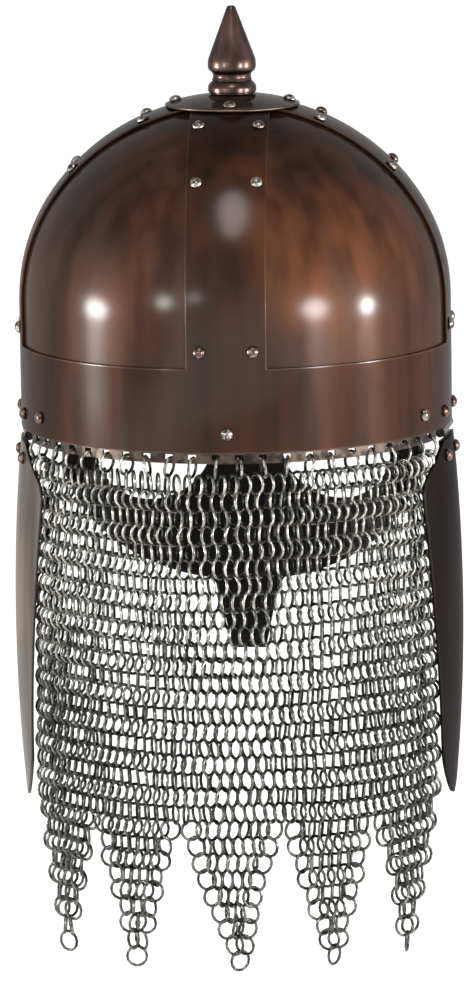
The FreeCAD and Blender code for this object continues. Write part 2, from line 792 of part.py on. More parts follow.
def mail_openings(name, radius, half_angle, heading, columns):
    """A plain grid of boxes that opens one wall of the mail, as its rings do."""
    step = f"(({MAIL_TOP}) - ({MAIL_BOTTOM})) / {OPEN_ROWS}"
    turn = 2 * half_angle / columns
    width = f"mail_open_share * {math.radians(turn)} * {radius}"
    start = f"{radius} - mail_thickness / 2 - overrun"
    tools = []
    for row in range(OPEN_ROWS):
        low = f"{MAIL_BOTTOM} + ({row} + (1 - mail_open_share) / 2) * {step}"
        for column in range(columns):
            tools.append(
                box(
                    f"{name}_opening_{row}_{column}",
                    "mail_thickness + 2 * overrun",
                    width,
                    f"mail_open_share * {step}",
                    (start, f"-({width}) / 2", low),
                    heading + (column - (columns - 1) / 2) * turn,
                )
            )
    return fuse(f"{name}_openings", tools)


def build_mail_curtain():
    height = f"({MAIL_TOP}) - ({MAIL_BOTTOM})"
    limit = size("mail_turn_angle")
    middle = sector(
        "mail_middle",
        f"{MAIL_RADIUS} + mail_thickness / 2",
        f"{MAIL_RADIUS} - mail_thickness / 2",
        MAIL_BOTTOM,
        height,
        limit,
        90,
    )
    openings = mail_openings("mail_middle", MAIL_RADIUS, limit, 90, OPEN_COLUMNS)
    walls = [cut("mail_middle_open", middle, openings)]
    inset = size(f"{MAIL_RADIUS} - mail_turn_radius")
    for name, side in SIDES:
        half = mail_end_angle() / 2
        heading = 90 - side * (limit + half)
        wall = sector(
            f"mail_end_{name}",
            "mail_turn_radius + mail_thickness / 2",
            "mail_turn_radius - mail_thickness / 2",
            MAIL_BOTTOM,
            height,
            half,
            heading,
        )
        openings = mail_openings(f"mail_end_{name}", "mail_turn_radius", half, heading, 1)
        opened = cut(f"mail_end_{name}_open", wall, openings)
        centre = Rotation(Vector(0, 0, 1), 90 - side * limit).multVec(Vector(inset, 0, 0))
        opened.Placement = Placement(centre, Rotation())
        walls.append(opened)
    keep("mail_curtain", fuse("mail_curtain", walls))


TONGUE_TOP = f"({MAIL_BOTTOM}) - mail_gap"
TONGUE_TIP = f"({LAST_ROW}) - {TONGUE_RINGS - 1} * row_pitch - ring_radius - wire_diameter / 2"


def tongue_place(number):
    """Where a tongue hangs: its middle, and the turn that faces it outwards."""
    width = size(f"{TONGUE_RINGS} * ring_pitch")
    middle = (number - (TONGUES - 1) / 2) * width
    half = size(f"{TONGUE_RINGS - 1} * ring_pitch") / 2
    left = mail_point(middle + half)
    right = mail_point(middle - half)
    chord = left - right
    turn = math.degrees(math.atan2(chord.y, chord.x))
    hang = (left + right) / 2
    swell = (mail_point(middle) - hang).Length / 2
    outward = Rotation(Vector(0, 0, 1), turn).multVec(Vector(0, 1, 0))
    return Placement(hang + outward * swell, Rotation(Vector(0, 0, 1), turn))


def build_tongues():
    base = f"{TONGUE_RINGS - 1} * ring_pitch / 2"
    for number in range(TONGUES):
        node = f"mail_tongue_{number + 1}"
        body = new_body(node)
        sketch = new_sketch(body, "XZ_Plane", f"{node}_outline")
        corners = [
            (f"-({base})", TONGUE_TOP),
            (base, TONGUE_TOP),
            ("tongue_tip_radius", TONGUE_TIP),
            ("-tongue_tip_radius", TONGUE_TIP),
        ]
        outline(sketch, corners)
        slab = pad(body, sketch, "mail_thickness", True)
        doc.recompute()
        top = size(TONGUE_TOP)
        edges = [
            f"Edge{index}"
            for index, edge in enumerate(slab.Shape.Edges, start=1)
            if abs(edge.BoundBox.ZMin - top) < size("seat_gap")
            and edge.BoundBox.XLength > size("mail_thickness")
        ]
        rounded = body.newObject("PartDesign::Fillet", f"{node}_top")
        rounded.Base = (slab, edges)
        bind(rounded, Radius="mail_thickness / 2 - seat_gap")
        body.Tip = rounded
        body.Placement = tongue_place(number)
        keep(node, body)


# Hinges and cheek plates, made on the +X side and turned to their headings

CHEEK_BOTTOM = "-cheek_top_drop - cheek_length"
CHEEK_SEAT = "skull_radius + cheek_standoff"


def cheek_section(name, depth, thickness):
    """Wall with a cheek plate's two curvatures, at a depth below the plate's outer face."""
    body = new_body(name)
    sketch = new_sketch(body, "XZ_Plane", f"{name}_section")
    outer = f"cheek_plan_radius - ({depth})"
    inner = f"{outer} - {thickness}"
    top = "-cheek_top_drop"
    corners = [(outer, CHEEK_BOTTOM), (outer, top), (inner, top), (inner, CHEEK_BOTTOM)]
    outline(sketch, corners, {0: ("cheek_bow_round", -1), 2: ("cheek_bow_round", 1)})
    turned_wall = revolve(body, sketch, 90.0)
    turned_wall.Midplane = True
    body.Placement = Placement(Vector(size(f"{CHEEK_SEAT} - cheek_plan_radius"), 0, 0), Rotation())
    return body


def cheek_rivet_places():
    """Places of the lower hinge rivets on a plate's outer face."""
    bow = size("cheek_bow_round")
    half = size("cheek_length") / 2
    middle = size("-cheek_top_drop") - half
    height = -size("lower_rivet_drop")
    lean = math.asin((height - middle) / bow)
    swell = bow * math.cos(lean) - math.sqrt(bow**2 - half**2)
    radius = size("cheek_plan_radius") + swell
    shift = Placement(Vector(size(f"{CHEEK_SEAT} - cheek_plan_radius"), 0, 0), Rotation())
    return [
        shift.multiply(heading_place(0, side * size("hinge_rivet_spread"), radius, height, lean))
        for side in (-1, 1)
    ]


def pin_line(half_length, shift=0.0):
    """Placement of a cylinder that lies along a hinge's pin axis."""
    spot = Vector(size("skull_radius - barrel_inset"), shift - half_length, -size("barrel_drop"))
    return Placement(spot, Rotation(Vector(1, 0, 0), -90))


def knuckle(name, number):
    """One of the barrel's equal knuckles, counted along +Y."""
    pitch = size("2 * leaf_half_width") / KNUCKLES
    length = f"2 * leaf_half_width / {KNUCKLES} - knuckle_gap"
    shift = (number - (KNUCKLES - 1) / 2) * pitch
    return cylinder(name, "barrel_radius", length, pin_line(size(length) / 2, shift))


def strap(name, number, low, high, inner="0", depth="skull_radius"):
    """Block as wide as a knuckle, for the strap that joins the knuckle to its leaf."""
    pitch = f"2 * leaf_half_width / {KNUCKLES}"
    length = f"{pitch} - knuckle_gap"
    start = f"{pitch} * {number} - leaf_half_width + knuckle_gap / 2"
    return box(name, depth, length, f"({high}) - ({low})", (inner, start, low))


def pin_bore(name):
    run = size("leaf_half_width + overrun")
    length = "2 * leaf_half_width + 2 * overrun"
    return cylinder(name, "pin_radius + pin_clearance", length, pin_line(run))


def build_hinge(name, side):
    """One hinge and its cheek plate."""
    heading = hinge_heading(side)

    wall = ring(
        f"upper_leaf_wall_{name}",
        STRIP_OUTER,
        f"{STRIP_OUTER} - leaf_thickness",
        "-barrel_drop",
        "leaf_height + barrel_drop",
    )
    plan = [
        box(
            f"upper_leaf_width_{name}",
            "skull_radius",
            "2 * leaf_half_width",
            "leaf_height + overrun",
            ("0", "-leaf_half_width", "knuckle_gap"),
        )
    ]
    knuckles = []
    for number in (0, KNUCKLES - 1):
        knuckles.append(knuckle(f"upper_knuckle_{name}_{number}", number))
        top = "strap_share * leaf_height"
        plan.append(strap(f"upper_strap_{name}_{number}", number, "-barrel_drop", top))
    blank = common(f"upper_leaf_blank_{name}", wall, fuse(f"upper_leaf_plan_{name}", plan))
    solid = fuse(f"upper_leaf_solid_{name}", [blank, *knuckles])
    drills = fuse(
        f"upper_leaf_drills_{name}",
        [
            pin_bore(f"upper_pin_bore_{name}"),
            rivet_holes(f"upper_leaf_holes_{name}", upper_hinge_rivet_places(0), LAP_GRIP),
        ],
    )
    node = f"hinge_upper_leaf_{name}"
    keep(node, turned(cut(node, solid, drills), heading))

    wall = cheek_section(f"lower_leaf_wall_{name}", "cheek_thickness + lap_gap", "leaf_thickness")
    width = box(
        f"lower_leaf_width_{name}",
        "2 * skull_radius",
        "2 * leaf_half_width",
        "leaf_height",
        ("0", "-leaf_half_width", "-cheek_top_drop - leaf_height"),
    )
    solid = fuse(
        f"lower_leaf_solid_{name}",
        [
            common(f"lower_leaf_blank_{name}", wall, width),
            knuckle(f"lower_knuckle_{name}", 1),
            strap(
                f"lower_strap_{name}",
                1,
                "-cheek_top_drop - strap_share * leaf_height",
                "-barrel_drop",
                f"{STRIP_OUTER} - leaf_thickness",
                "leaf_thickness",
            ),
        ],
    )
    drills = fuse(
        f"lower_leaf_drills_{name}",
        [
            pin_bore(f"lower_pin_bore_{name}"),
            rivet_holes(f"lower_leaf_holes_{name}", cheek_rivet_places(), CHEEK_GRIP),
        ],
    )
    node = f"hinge_lower_leaf_{name}"
    keep(node, turned(cut(node, solid, drills), heading))

    node = f"hinge_pin_{name}"
    pin = cylinder(node, "pin_radius", "2 * leaf_half_width", pin_line(size("leaf_half_width")))
    keep(node, turned(pin, heading))

    plate = cheek_section(f"cheek_wall_{name}", "0", "cheek_thickness")
    leaf = new_body(f"cheek_leaf_{name}")
    shoulder = "-cheek_shoulder_drop - cheek_top_drop"
    half = [
        ("cheek_top_half_width", "-cheek_top_drop"),
        (
            "cheek_shoulder_half_width - cheek_shoulder_cut",
            f"{shoulder} + cheek_shoulder_cut_height",
        ),
        ("cheek_shoulder_half_width", shoulder),
        ("cheek_point_half_width", f"{CHEEK_BOTTOM} + cheek_point_height"),
    ]
    mirrored = [(f"-({x})", z) for x, z in reversed(half)]
    corners = [*half, ("0", CHEEK_BOTTOM), *mirrored]
    rounds = {
        1: ("cheek_shoulder_round", 1),
        2: ("cheek_flank_round", 1),
        3: ("cheek_point_round", 1),
        4: ("cheek_point_round", 1),
        5: ("cheek_flank_round", 1),
        6: ("cheek_shoulder_round", 1),
    }
    outline(new_sketch(leaf, "YZ_Plane", f"cheek_outline_{name}"), corners, rounds)
    pad(leaf, leaf.Group[0], "2 * skull_radius")
    blank = common(f"cheek_blank_{name}", plate, leaf)
    holes = rivet_holes(f"cheek_holes_{name}", cheek_rivet_places(), CHEEK_GRIP)
    node = f"cheek_plate_{name}"
    keep(node, turned(cut(node, blank, holes), heading))


# Spectacle guard

GUARD_SIDE = "skull_radius - guard_side_inset"
EYE_OUTER = f"{GUARD_SIDE} - guard_side_width"
EYE_ROUND = f"({EYE_OUTER} - eye_inner) / 2 + eye_flattening"


def build_guard():
    outer = "skull_radius + lap_gap + guard_thickness"
    wall = sector(
        "guard_wall",
        outer,
        "skull_radius + lap_gap",
        "-nasal_tip_drop - overrun",
        "nasal_tip_drop + brow_height + overrun",
        90,
        -90,
    )
    body = new_body("guard_front")
    sketch = new_sketch(body, "XZ_Plane", "guard_outline")
    half = [
        ("guard_bridge_half", "guard_bridge_rise"),
        (GUARD_SIDE, "guard_end_rise"),
        (GUARD_SIDE, "-guard_end_drop"),
        ("guard_root_half", "-guard_root_drop"),
        ("nasal_top_half", "-nasal_top_drop"),
        ("nasal_tip_half", "-nasal_tip_drop"),
    ]
    mirrored = [(f"-({x})", z) for x, z in reversed(half)]
    rounds = {
        0: ("guard_brow_round", 1),
        2: ("guard_cheek_round", 1),
        8: ("guard_cheek_round", 1),
        10: ("guard_brow_round", 1),
    }
    outline(sketch, [*half, *mirrored], rounds)
    pad(body, sketch, f"{outer} + overrun")
    face = common("guard_blank", wall, body)
    eyes = []
    for name, side in SIDES:
        eye = new_body(f"eye_{name}")
        edge = new_sketch(eye, "XZ_Plane", f"eye_outline_{name}")
        corners = [
            (f"{side} * eye_inner", "-eye_drop"),
            (f"{side} * ({EYE_OUTER})", "-eye_drop"),
        ]
        outline(edge, corners, {0: (EYE_ROUND, 1), 1: (EYE_ROUND, 1)})
        pad(eye, edge, f"{outer} + overrun")
        eyes.append(eye)
    holes = rivet_holes("guard_holes", guard_rivet_places(), GUARD_GRIP)
    keep("spectacle_guard", cut("spectacle_guard", face, fuse("guard_tools", [*eyes, holes])))


# Liner

LINER_OUTER = f"{STRIP_OUTER} - strip_thickness - liner_gap"
CROWN_OUTER = f"{LINER_OUTER} - leather_thickness - lace_gap"
LINER_SHOULDER = f"({CROWN_OUTER} - liner_shoulder_inset)"
LINER_RISE = f"({LINER_SHOULDER} + liner_crown_lift)"
LINER_EXPRESSIONS = (CROWN_OUTER, "liner_wall_height", LINER_RISE, LINER_SHOULDER)


def build_liner():
    inner = f"{LINER_OUTER} - leather_thickness"
    band = ring("liner_wall", LINER_OUTER, inner, "liner_band_bottom", "liner_band_height")
    holes = rivet_holes("liner_holes", hanger_rivet_places() + guard_rivet_places(), GUARD_GRIP)
    keep("liner_band", cut("liner_band", band, holes))

    dome = Dome(*LINER_EXPRESSIONS)
    depth = "leather_thickness"
    shell = dome_shell("liner_shell", dome, LINER_EXPRESSIONS, "0", depth, "petal_bottom")
    up = Placement(Vector(0, 0, size("liner_wall_height + overrun")), Rotation())
    tools = [cylinder("crown_hole", "crown_hole_radius", LINER_RISE, up)]
    for number in range(PETALS // 2):
        corner = (f"-({CROWN_OUTER}) - overrun", "-petal_slit / 2", "slit_bottom")
        tools.append(
            box(
                f"petal_slit_{number}",
                f"2 * ({CROWN_OUTER}) + 2 * overrun",
                "petal_slit",
                f"liner_wall_height + {LINER_RISE}",
                corner,
                360 / PETALS * (number + 0.5),
            )
        )
    keep("liner_crown", cut("liner_crown", shell, fuse("liner_tools", tools)))

    lace_depth = size("leather_thickness + lace_gap + lace_radius")
    height = dome.at_radius(size("lace_loop_radius"), lace_depth)[0]
    lace = doc.addObject("Part::Torus", "liner_lace")
    bind(lace, Radius1="lace_loop_radius", Radius2="lace_radius")
    lace.Placement = Placement(Vector(0, 0, height), Rotation())
    keep("liner_lace", lace)


def build_rivets():
    masters = {
        "lap_rivet": LAP_GRIP,
        "crown_rivet": CROWN_GRIP,
        "hanger_rivet": LINER_GRIP,
        "guard_rivet": GUARD_GRIP,
        "cheek_rivet": CHEEK_GRIP,
    }
    made = {name: rivet_body(name, grip) for name, grip in masters.items()}
    doc.recompute()
    band_places = []
    for quarter in range(4):
        band_places += band_rivet_places(90 * quarter)
    rivet_group("band_rivets", made["lap_rivet"], band_places)
    rivet_group("crown_rivets", made["crown_rivet"], crown_rivet_places())
    rivet_group("hanger_rivets", made["hanger_rivet"], hanger_rivet_places())
    rivet_group("guard_rivets", made["guard_rivet"], guard_rivet_places())
    for name, side in SIDES:
        heading = hinge_heading(side)
        upper = upper_hinge_rivet_places(heading)
        rivet_group(f"hinge_upper_rivets_{name}", made["lap_rivet"], upper)
        spin = Placement(Vector(), Rotation(Vector(0, 0, 1), heading))
        lower = [spin.multiply(place) for place in cheek_rivet_places()]
        rivet_group(f"hinge_lower_rivets_{name}", made["cheek_rivet"], lower)


def export():
    """Check every object and every sub-part, then write one file for each node."""
    doc.recompute()
    for item in doc.Objects:
        if "Invalid" in item.State or "Error" in item.State:
            raise RuntimeError(f"{item.Label} did not recompute: {item.State}")
    for node, item in sorted(parts.items()):
        shape = item.Shape
        if shape.isNull() or not shape.isValid() or not shape.Solids:
            raise RuntimeError(f"{node} has no valid solid")
        shape.exportStep(f"parts/{node}.step")
        extent = shape.BoundBox
        print(
            f"{node}: {len(shape.Solids)} solid(s), {shape.Volume:.1f} mm3, "
            f"{extent.XLength:.1f} x {extent.YLength:.1f} x {extent.ZLength:.1f} mm"
        )


build_brow_band()
build_bands()
build_panels()
build_crown_disc()
build_finial()
build_finial_fixing()
build_hanger_strip()
build_hanger_rings()
build_mail_curtain()
build_tongues()
for side_name, side_sign in SIDES:
    build_hinge(side_name, side_sign)
build_guard()
build_liner()
build_rivets()
export()
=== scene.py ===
import logging
import math
from collections.abc import Callable, Iterable, Sequence
from dataclasses import dataclass, field, replace
from enum import Enum

import bmesh
import bpy
import numpy as np
from mathutils import Matrix, Vector, noise


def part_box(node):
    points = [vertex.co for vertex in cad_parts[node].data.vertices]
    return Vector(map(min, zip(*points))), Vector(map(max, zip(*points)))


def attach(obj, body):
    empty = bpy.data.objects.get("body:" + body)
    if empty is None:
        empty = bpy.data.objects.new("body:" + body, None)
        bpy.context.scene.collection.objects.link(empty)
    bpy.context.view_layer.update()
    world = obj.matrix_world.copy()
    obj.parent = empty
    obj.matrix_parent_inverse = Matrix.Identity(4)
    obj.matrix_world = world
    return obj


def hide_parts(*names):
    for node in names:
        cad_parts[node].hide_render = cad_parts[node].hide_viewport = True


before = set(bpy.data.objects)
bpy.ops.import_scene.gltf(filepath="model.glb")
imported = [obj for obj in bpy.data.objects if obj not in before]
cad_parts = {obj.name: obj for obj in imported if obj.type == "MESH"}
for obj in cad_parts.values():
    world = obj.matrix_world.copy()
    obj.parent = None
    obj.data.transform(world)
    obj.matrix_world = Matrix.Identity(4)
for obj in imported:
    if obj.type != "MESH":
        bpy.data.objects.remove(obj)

log = logging.getLogger("helmet")

# The helmet stands in the frame of its solids: +Z up through the spike, the face along -Y.
MM = 0.001
ROOT = "skull"
Socket = bpy.types.NodeSocket


class Side(Enum):
    """The wearer's left and right, with the sign of X on that side."""

    LEFT = 1
    RIGHT = -1

    @property
    def label(self) -> str:
        """The word that ends this side's node names."""
        return self.name.lower()


# Colour and node helpers


def linear(code: str) -> tuple[float, float, float, float]:
    """Turn an sRGB hex colour into linear colour.

    Args:
        code: Six hex digits after a hash sign.

    Returns:
        Red, green, blue and an alpha of 1.
    """
    channels = [int(code[start : start + 2], 16) / 255 for start in (1, 3, 5)]
    straight = [c / 12.92 if c <= 0.04045 else ((c + 0.055) / 1.055) ** 2.4 for c in channels]
    return (*straight, 1.0)


@dataclass(frozen=True)
class Wiring:
    """Short ways to add nodes to one tree. All but add() give back the new node's socket."""

    tree: bpy.types.NodeTree

    def join(self, node: bpy.types.Node, inputs: dict) -> None:
        """Give a node's inputs their values, or link the sockets that feed them."""
        for key, value in inputs.items():
            if isinstance(value, Socket):
                self.tree.links.new(value, node.inputs[key])
            else:
                node.inputs[key].default_value = value

    def add(self, kind: str, inputs: dict | None = None, **settings: object) -> bpy.types.Node:
        """Add one node with its settings and links.

        Args:
            kind: The node's type.
            inputs: For an input's name or number, a value or the socket that feeds it.
            settings: The node's own properties.

        Returns:
            The new node.
        """
        node = self.tree.nodes.new(kind)
        for name, value in settings.items():
            setattr(node, name, value)
        self.join(node, inputs or {})
        return node

    def first(self, kind: str, inputs: dict | None = None, **settings: object) -> Socket:
        """Add one node for its first output."""
        return self.add(kind, inputs, **settings).outputs[0]

    def place(self) -> Socket:
        """Places in the object's own coordinates."""
        return self.add("ShaderNodeTexCoord").outputs["Object"]

    def axes(self, vector: Socket) -> Sequence[Socket]:
        """A vector's X, Y and Z."""
        return self.add("ShaderNodeSeparateXYZ", {0: vector}).outputs

    def combined(self, x: object = 0.0, y: object = 0.0, z: object = 0.0) -> Socket:
        """A vector from three numbers."""
        return self.first("ShaderNodeCombineXYZ", {0: x, 1: y, 2: z})

    def stretched(self, vector: Socket, share: float) -> Socket:
        """Places whose heights are squeezed, so that marks on them are drawn out upwards."""
        return self.first("ShaderNodeMapping", {"Vector": vector, "Scale": (1.0, 1.0, share)})

    def maths(self, operation: str, first: object, second: object) -> Socket:
        """Two numbers joined by an operation."""
        return self.first("ShaderNodeMath", {0: first, 1: second}, operation=operation)

    def scaled(self, vector: Socket, share: Socket) -> Socket:
        """A vector times a number."""
        return self.first("ShaderNodeVectorMath", {0: vector, "Scale": share}, operation="SCALE")

    def noise(self, vector: Socket, spacing: object, detail: float, **more: float) -> Socket:
        """Noise on a vector, whose marks lie a spacing apart.

        Args:
            vector: Places in metres.
            spacing: Metres, as a number or a socket.
            detail: How many finer layers it has.
            more: Other inputs of the texture. One named W makes it four-dimensional.

        Returns:
            The noise's value.
        """
        scale = self.maths("DIVIDE", 1.0, spacing) if isinstance(spacing, Socket) else 1 / spacing
        inputs = {"Vector": vector, "Scale": scale, "Detail": detail, **more}
        return self.first("ShaderNodeTexNoise", inputs, noise_dimensions="4D" if "W" in more else "3D")

    def ramp(
        self,
        value: Socket,
        start: float,
        stop: float,
        low: float = 0.0,
        high: float = 1.0,
        soft: bool = False,
    ) -> Socket:
        """A value moved from one range to another and kept inside it.

        Args:
            value: The value.
            start: Value that becomes the low one.
            stop: Value that becomes the high one.
            low: What the start becomes.
            high: What the stop becomes.
            soft: Whether both ends are eased.

        Returns:
            The moved value.
        """
        ranges = {"Value": value, "From Min": start, "From Max": stop, "To Min": low, "To Max": high}
        easing = "SMOOTHSTEP" if soft else "LINEAR"
        return self.first("ShaderNodeMapRange", ranges, interpolation_type=easing)

    def mix(self, share: Socket, under: Socket | str, over: str) -> Socket:
        """A colour laid over another by a share; colours are sockets or sRGB hex."""
        base = linear(under) if isinstance(under, str) else under
        return self.add("ShaderNodeMix", {0: share, 6: base, 7: linear(over)}, data_type="RGBA").outputs[2]

    def bump(self, height: Socket, depth: float, **more: Socket) -> Socket:
        """A normal tipped by a height map of a depth in metres."""
        return self.first("ShaderNodeBump", {"Height": height, "Distance": depth, "Strength": 1.0, **more})

    def painted(self, label: str) -> Socket:
        """A mesh's own mark, read by a shader."""
        return self.add("ShaderNodeAttribute", attribute_name=label).outputs["Fac"]

    def marked(self, label: str, kind: str = "FLOAT") -> Socket:
        """A mark of the points, read by a Geometry Nodes tree."""
        node = self.add("GeometryNodeInputNamedAttribute", {"Name": label}, data_type=kind)
        return next(socket for socket in node.outputs if socket.enabled)

    def drawn(self, low: object, high: object, seed: Socket) -> Socket:
        """A random number for each point."""
        return self.add("FunctionNodeRandomValue", {2: low, 3: high, "Seed": seed}).outputs[1]

    def moved(self, geometry: Socket, **how: Socket) -> Socket:
        """Geometry with a new Position or an Offset."""
        return self.first("GeometryNodeSetPosition", {"Geometry": geometry, **how})

    def on_points(self, points: Socket, piece: Socket, turn: Socket, scale: object = (1.0,) * 3) -> Socket:
        """A piece put on each point, as real mesh.

        Args:
            points: Geometry whose points carry the piece.
            piece: The piece.
            turn: How each one is turned.
            scale: How each one is scaled.

        Returns:
            The pieces' geometry.
        """
        inputs = {"Points": points, "Instance": piece, "Rotation": turn, "Scale": scale}
        laid = self.first("GeometryNodeInstanceOnPoints", inputs)
        return self.first("GeometryNodeRealizeInstances", {0: laid})

    def feed(self, inputs: dict) -> None:
        """Set or link inputs of a material's own shader."""
        self.join(self.tree.nodes["Principled BSDF"], inputs)

    def close(self, geometry: Socket, material: Socket) -> None:
        """Give a Geometry Nodes tree's result its material and hand it out."""
        coated = self.first("GeometryNodeSetMaterial", {"Geometry": geometry, "Material": material})
        self.add("NodeGroupOutput", {0: coated})


# Finishes


@dataclass(frozen=True)
class Finish:
    """A surface finish that is made into a material once."""

    name: str
    slot: str

    def material(self) -> bpy.types.Material:
        """The finish's material, made on the first call."""
        made = bpy.data.materials.get(self.name)
        if made is None:
            made = bpy.data.materials.new(self.name)
            made.use_nodes = True
            self.shade(Wiring(made.node_tree))
        return made

    def shade(self, wires: Wiring) -> None:
        """Build the finish's nodes in front of its shader."""
        raise NotImplementedError


@dataclass(frozen=True)
class BrownedSteel(Finish):
    """Mild steel sheet, browned over heat, oiled and waxed: dark, glossy and patchy.

    The oxide is thin, so the metal's own soft mirror shows through it in brown, and the
    wax over it gives small white highlights. It was held longer in the heat on the
    wearer's right, where it is more orange. Raising it over a stake left shallow waves.
    """

    slot: str = "browned_steel"
    dark: str = "#20120b"
    middle: str = "#33211a"
    warm: str = "#6b3c22"
    cool: str = "#352e29"
    worn: str = "#5c4638"
    # Near black of the painted shade on the faces that look inwards.
    scale: str = "#141210"
    rim: str = "#5c504a"
    warm_share: float = 0.5
    roughness: float = 0.58
    wax: float = 0.3
    wax_roughness: float = 0.19
    patch: float = 52 * MM
    patch_stretch: float = 0.55
    streak: float = 11 * MM
    streak_stretch: float = 0.1
    cloud_patches: float = 1.7
    wave: float = 26 * MM
    wave_depth: float = 0.19 * MM
    grain: float = 1.1 * MM
    grain_depth: float = 0.012 * MM
    torch: tuple[float, float] = (10 * MM, -62 * MM)
    above_brow: tuple[float, float] = (30 * MM, 78 * MM)
    least_heat: float = 0.3
    wiped_heat: float = 0.45

    def shade(self, wires: Wiring) -> None:
        place = wires.place()
        # Streaks run up and down, as the oil was wiped.
        drawn = wires.stretched(place, self.streak_stretch)
        streaks = wires.noise(drawn, self.streak, 3.0, Roughness=0.4)
        patches = wires.noise(wires.stretched(place, self.patch_stretch), self.patch, 3.0, Distortion=0.3)
        clouds = wires.noise(place, self.cloud_patches * self.patch, 2.0, W=3.0)
        brown = wires.mix(wires.ramp(streaks, 0.25, 0.75, soft=True), self.dark, self.middle)
        across, _, height = wires.axes(place)
        heat = wires.ramp(patches, 0.42, 0.68, high=self.warm_share, soft=True)
        for mask in (
            wires.ramp(across, *self.torch, self.least_heat, soft=True),
            wires.ramp(height, *self.above_brow, self.least_heat, soft=True),
            wires.ramp(streaks, 0.3, 0.6, self.wiped_heat),
        ):
            heat = wires.maths("MULTIPLY", heat, mask)
        warmed = wires.mix(heat, brown, self.warm)
        toned = wires.mix(wires.ramp(clouds, 0.48, 0.7, high=0.55, soft=True), warmed, self.cool)
        # Sheet edges are rubbed bright where hands and cloths catch them.
        rubbed = wires.mix(wires.maths("MULTIPLY", wires.painted("wear"), streaks), toned, self.worn)
        wavy = wires.bump(wires.noise(place, self.wave, 1.0), self.wave_depth)
        wires.feed(
            {
                # Painted shade: faces that look towards the helmet's axis are darkened to near black, as if
                # in shadow.
                "Base Color": wires.mix(wires.painted("inside"), rubbed, self.scale),
                "Metallic": 1.0,
                "Specular Tint": linear(self.rim),
                "Coat Weight": self.wax,
                "Coat Roughness": self.wax_roughness,
                "Roughness": wires.ramp(patches, 0.3, 0.7, self.roughness - 0.05, self.roughness + 0.06),
                "Normal": wires.bump(wires.noise(drawn, self.grain, 2.0), self.grain_depth, Normal=wavy),
            }
        )


@dataclass(frozen=True)
class PlainSteel(Finish):
    """Bare or blackened steel of small parts and wire, dulled unevenly by handling.

    Brown oxide stays on some small parts. Hanging ones get painted shade towards their lower end,
    and so does the side of a wire that lies deep in the weave, where the rings around it shade it.
    """

    light: str = "#8c8984"
    dull: str = "#4b4844"
    oxide: str = "#4a3327"
    # Near black of the painted shade at the lower end of hanging pieces and deep in the weave.
    oil: str = "#000000"
    oxide_share: float = 0.0
    oil_share: float = 0.0
    deep_share: float = 0.0
    hanging: tuple[float, float] = (-60 * MM, -130 * MM)
    deep: tuple[float, float] = (104.5 * MM, 99 * MM)
    roughness: float = 0.36
    patch: float = 5 * MM
    cloud: float = 38 * MM
    pit: float = 0.7 * MM
    pit_depth: float = 0.03 * MM

    def shade(self, wires: Wiring) -> None:
        place = wires.place()
        patches = wires.noise(place, self.patch, 4.0)
        colour = wires.mix(wires.ramp(patches, 0.36, 0.64, soft=True), self.dull, self.light)
        left_brown = wires.ramp(wires.noise(place, self.cloud, 1.0), 0.5, 0.58, high=self.oxide_share)
        browned = wires.mix(left_brown, colour, self.oxide)
        # Painted shade: darker towards the lower end of hanging pieces, and on wire that lies inward of the
        # mail's middle, where the rings shade each other.
        lower_shade = wires.ramp(wires.axes(place)[2], *self.hanging, high=self.oil_share)
        level = wires.first("ShaderNodeVectorMath", {0: place, 1: (1.0, 1.0, 0.0)}, operation="MULTIPLY")
        reach = wires.add("ShaderNodeVectorMath", {0: level}, operation="LENGTH").outputs["Value"]
        shade_share = wires.maths("MAXIMUM", lower_shade, wires.ramp(reach, *self.deep, high=self.deep_share))
        wires.feed(
            {
                "Base Color": wires.mix(shade_share, browned, self.oil),
                "Metallic": 1.0,
                "Roughness": wires.ramp(patches, 0.3, 0.7, self.roughness + 0.1, self.roughness - 0.05),
                "Normal": wires.bump(wires.noise(place, self.pit, 3.0), self.pit_depth),
            }
        )


@dataclass(frozen=True)
class OiledLeather(Finish):
    """Vegetable-tanned cowhide, oiled brown: pebbled grain with darker creases."""

    hide: str = "#6b4428"
    crease: str = "#3c2415"
    grain: float = 1.5 * MM
    grain_depth: float = 0.12 * MM
    patch: float = 22 * MM

    def shade(self, wires: Wiring) -> None:
        place = wires.place()
        inputs = {"Vector": place, "Scale": 1 / self.grain, "Randomness": 1.0}
        pebbles = wires.first("ShaderNodeTexVoronoi", inputs, feature="DISTANCE_TO_EDGE")
        lined = wires.ramp(pebbles, 0.0, 0.16, 0.25)
        tone = wires.maths("MULTIPLY", lined, wires.noise(place, self.patch, 5.0))
        wires.feed(
            {
                "Base Color": wires.mix(wires.ramp(tone, 0.1, 0.6), self.crease, self.hide),
                "Roughness": 0.55,
                "Normal": wires.bump(lined, self.grain_depth),
            }
        )


@dataclass(frozen=True)
class PlainPaper(Finish):
    """Matte white studio paper under the helmet, lit a little from below."""

    white: str = "#f7f7f6"
    glow: float = 0.46

    def shade(self, wires: Wiring) -> None:
        white = linear(self.white)
        wires.feed(
            {"Base Color": white, "Roughness": 0.9, "Emission Color": white, "Emission Strength": self.glow}
        )


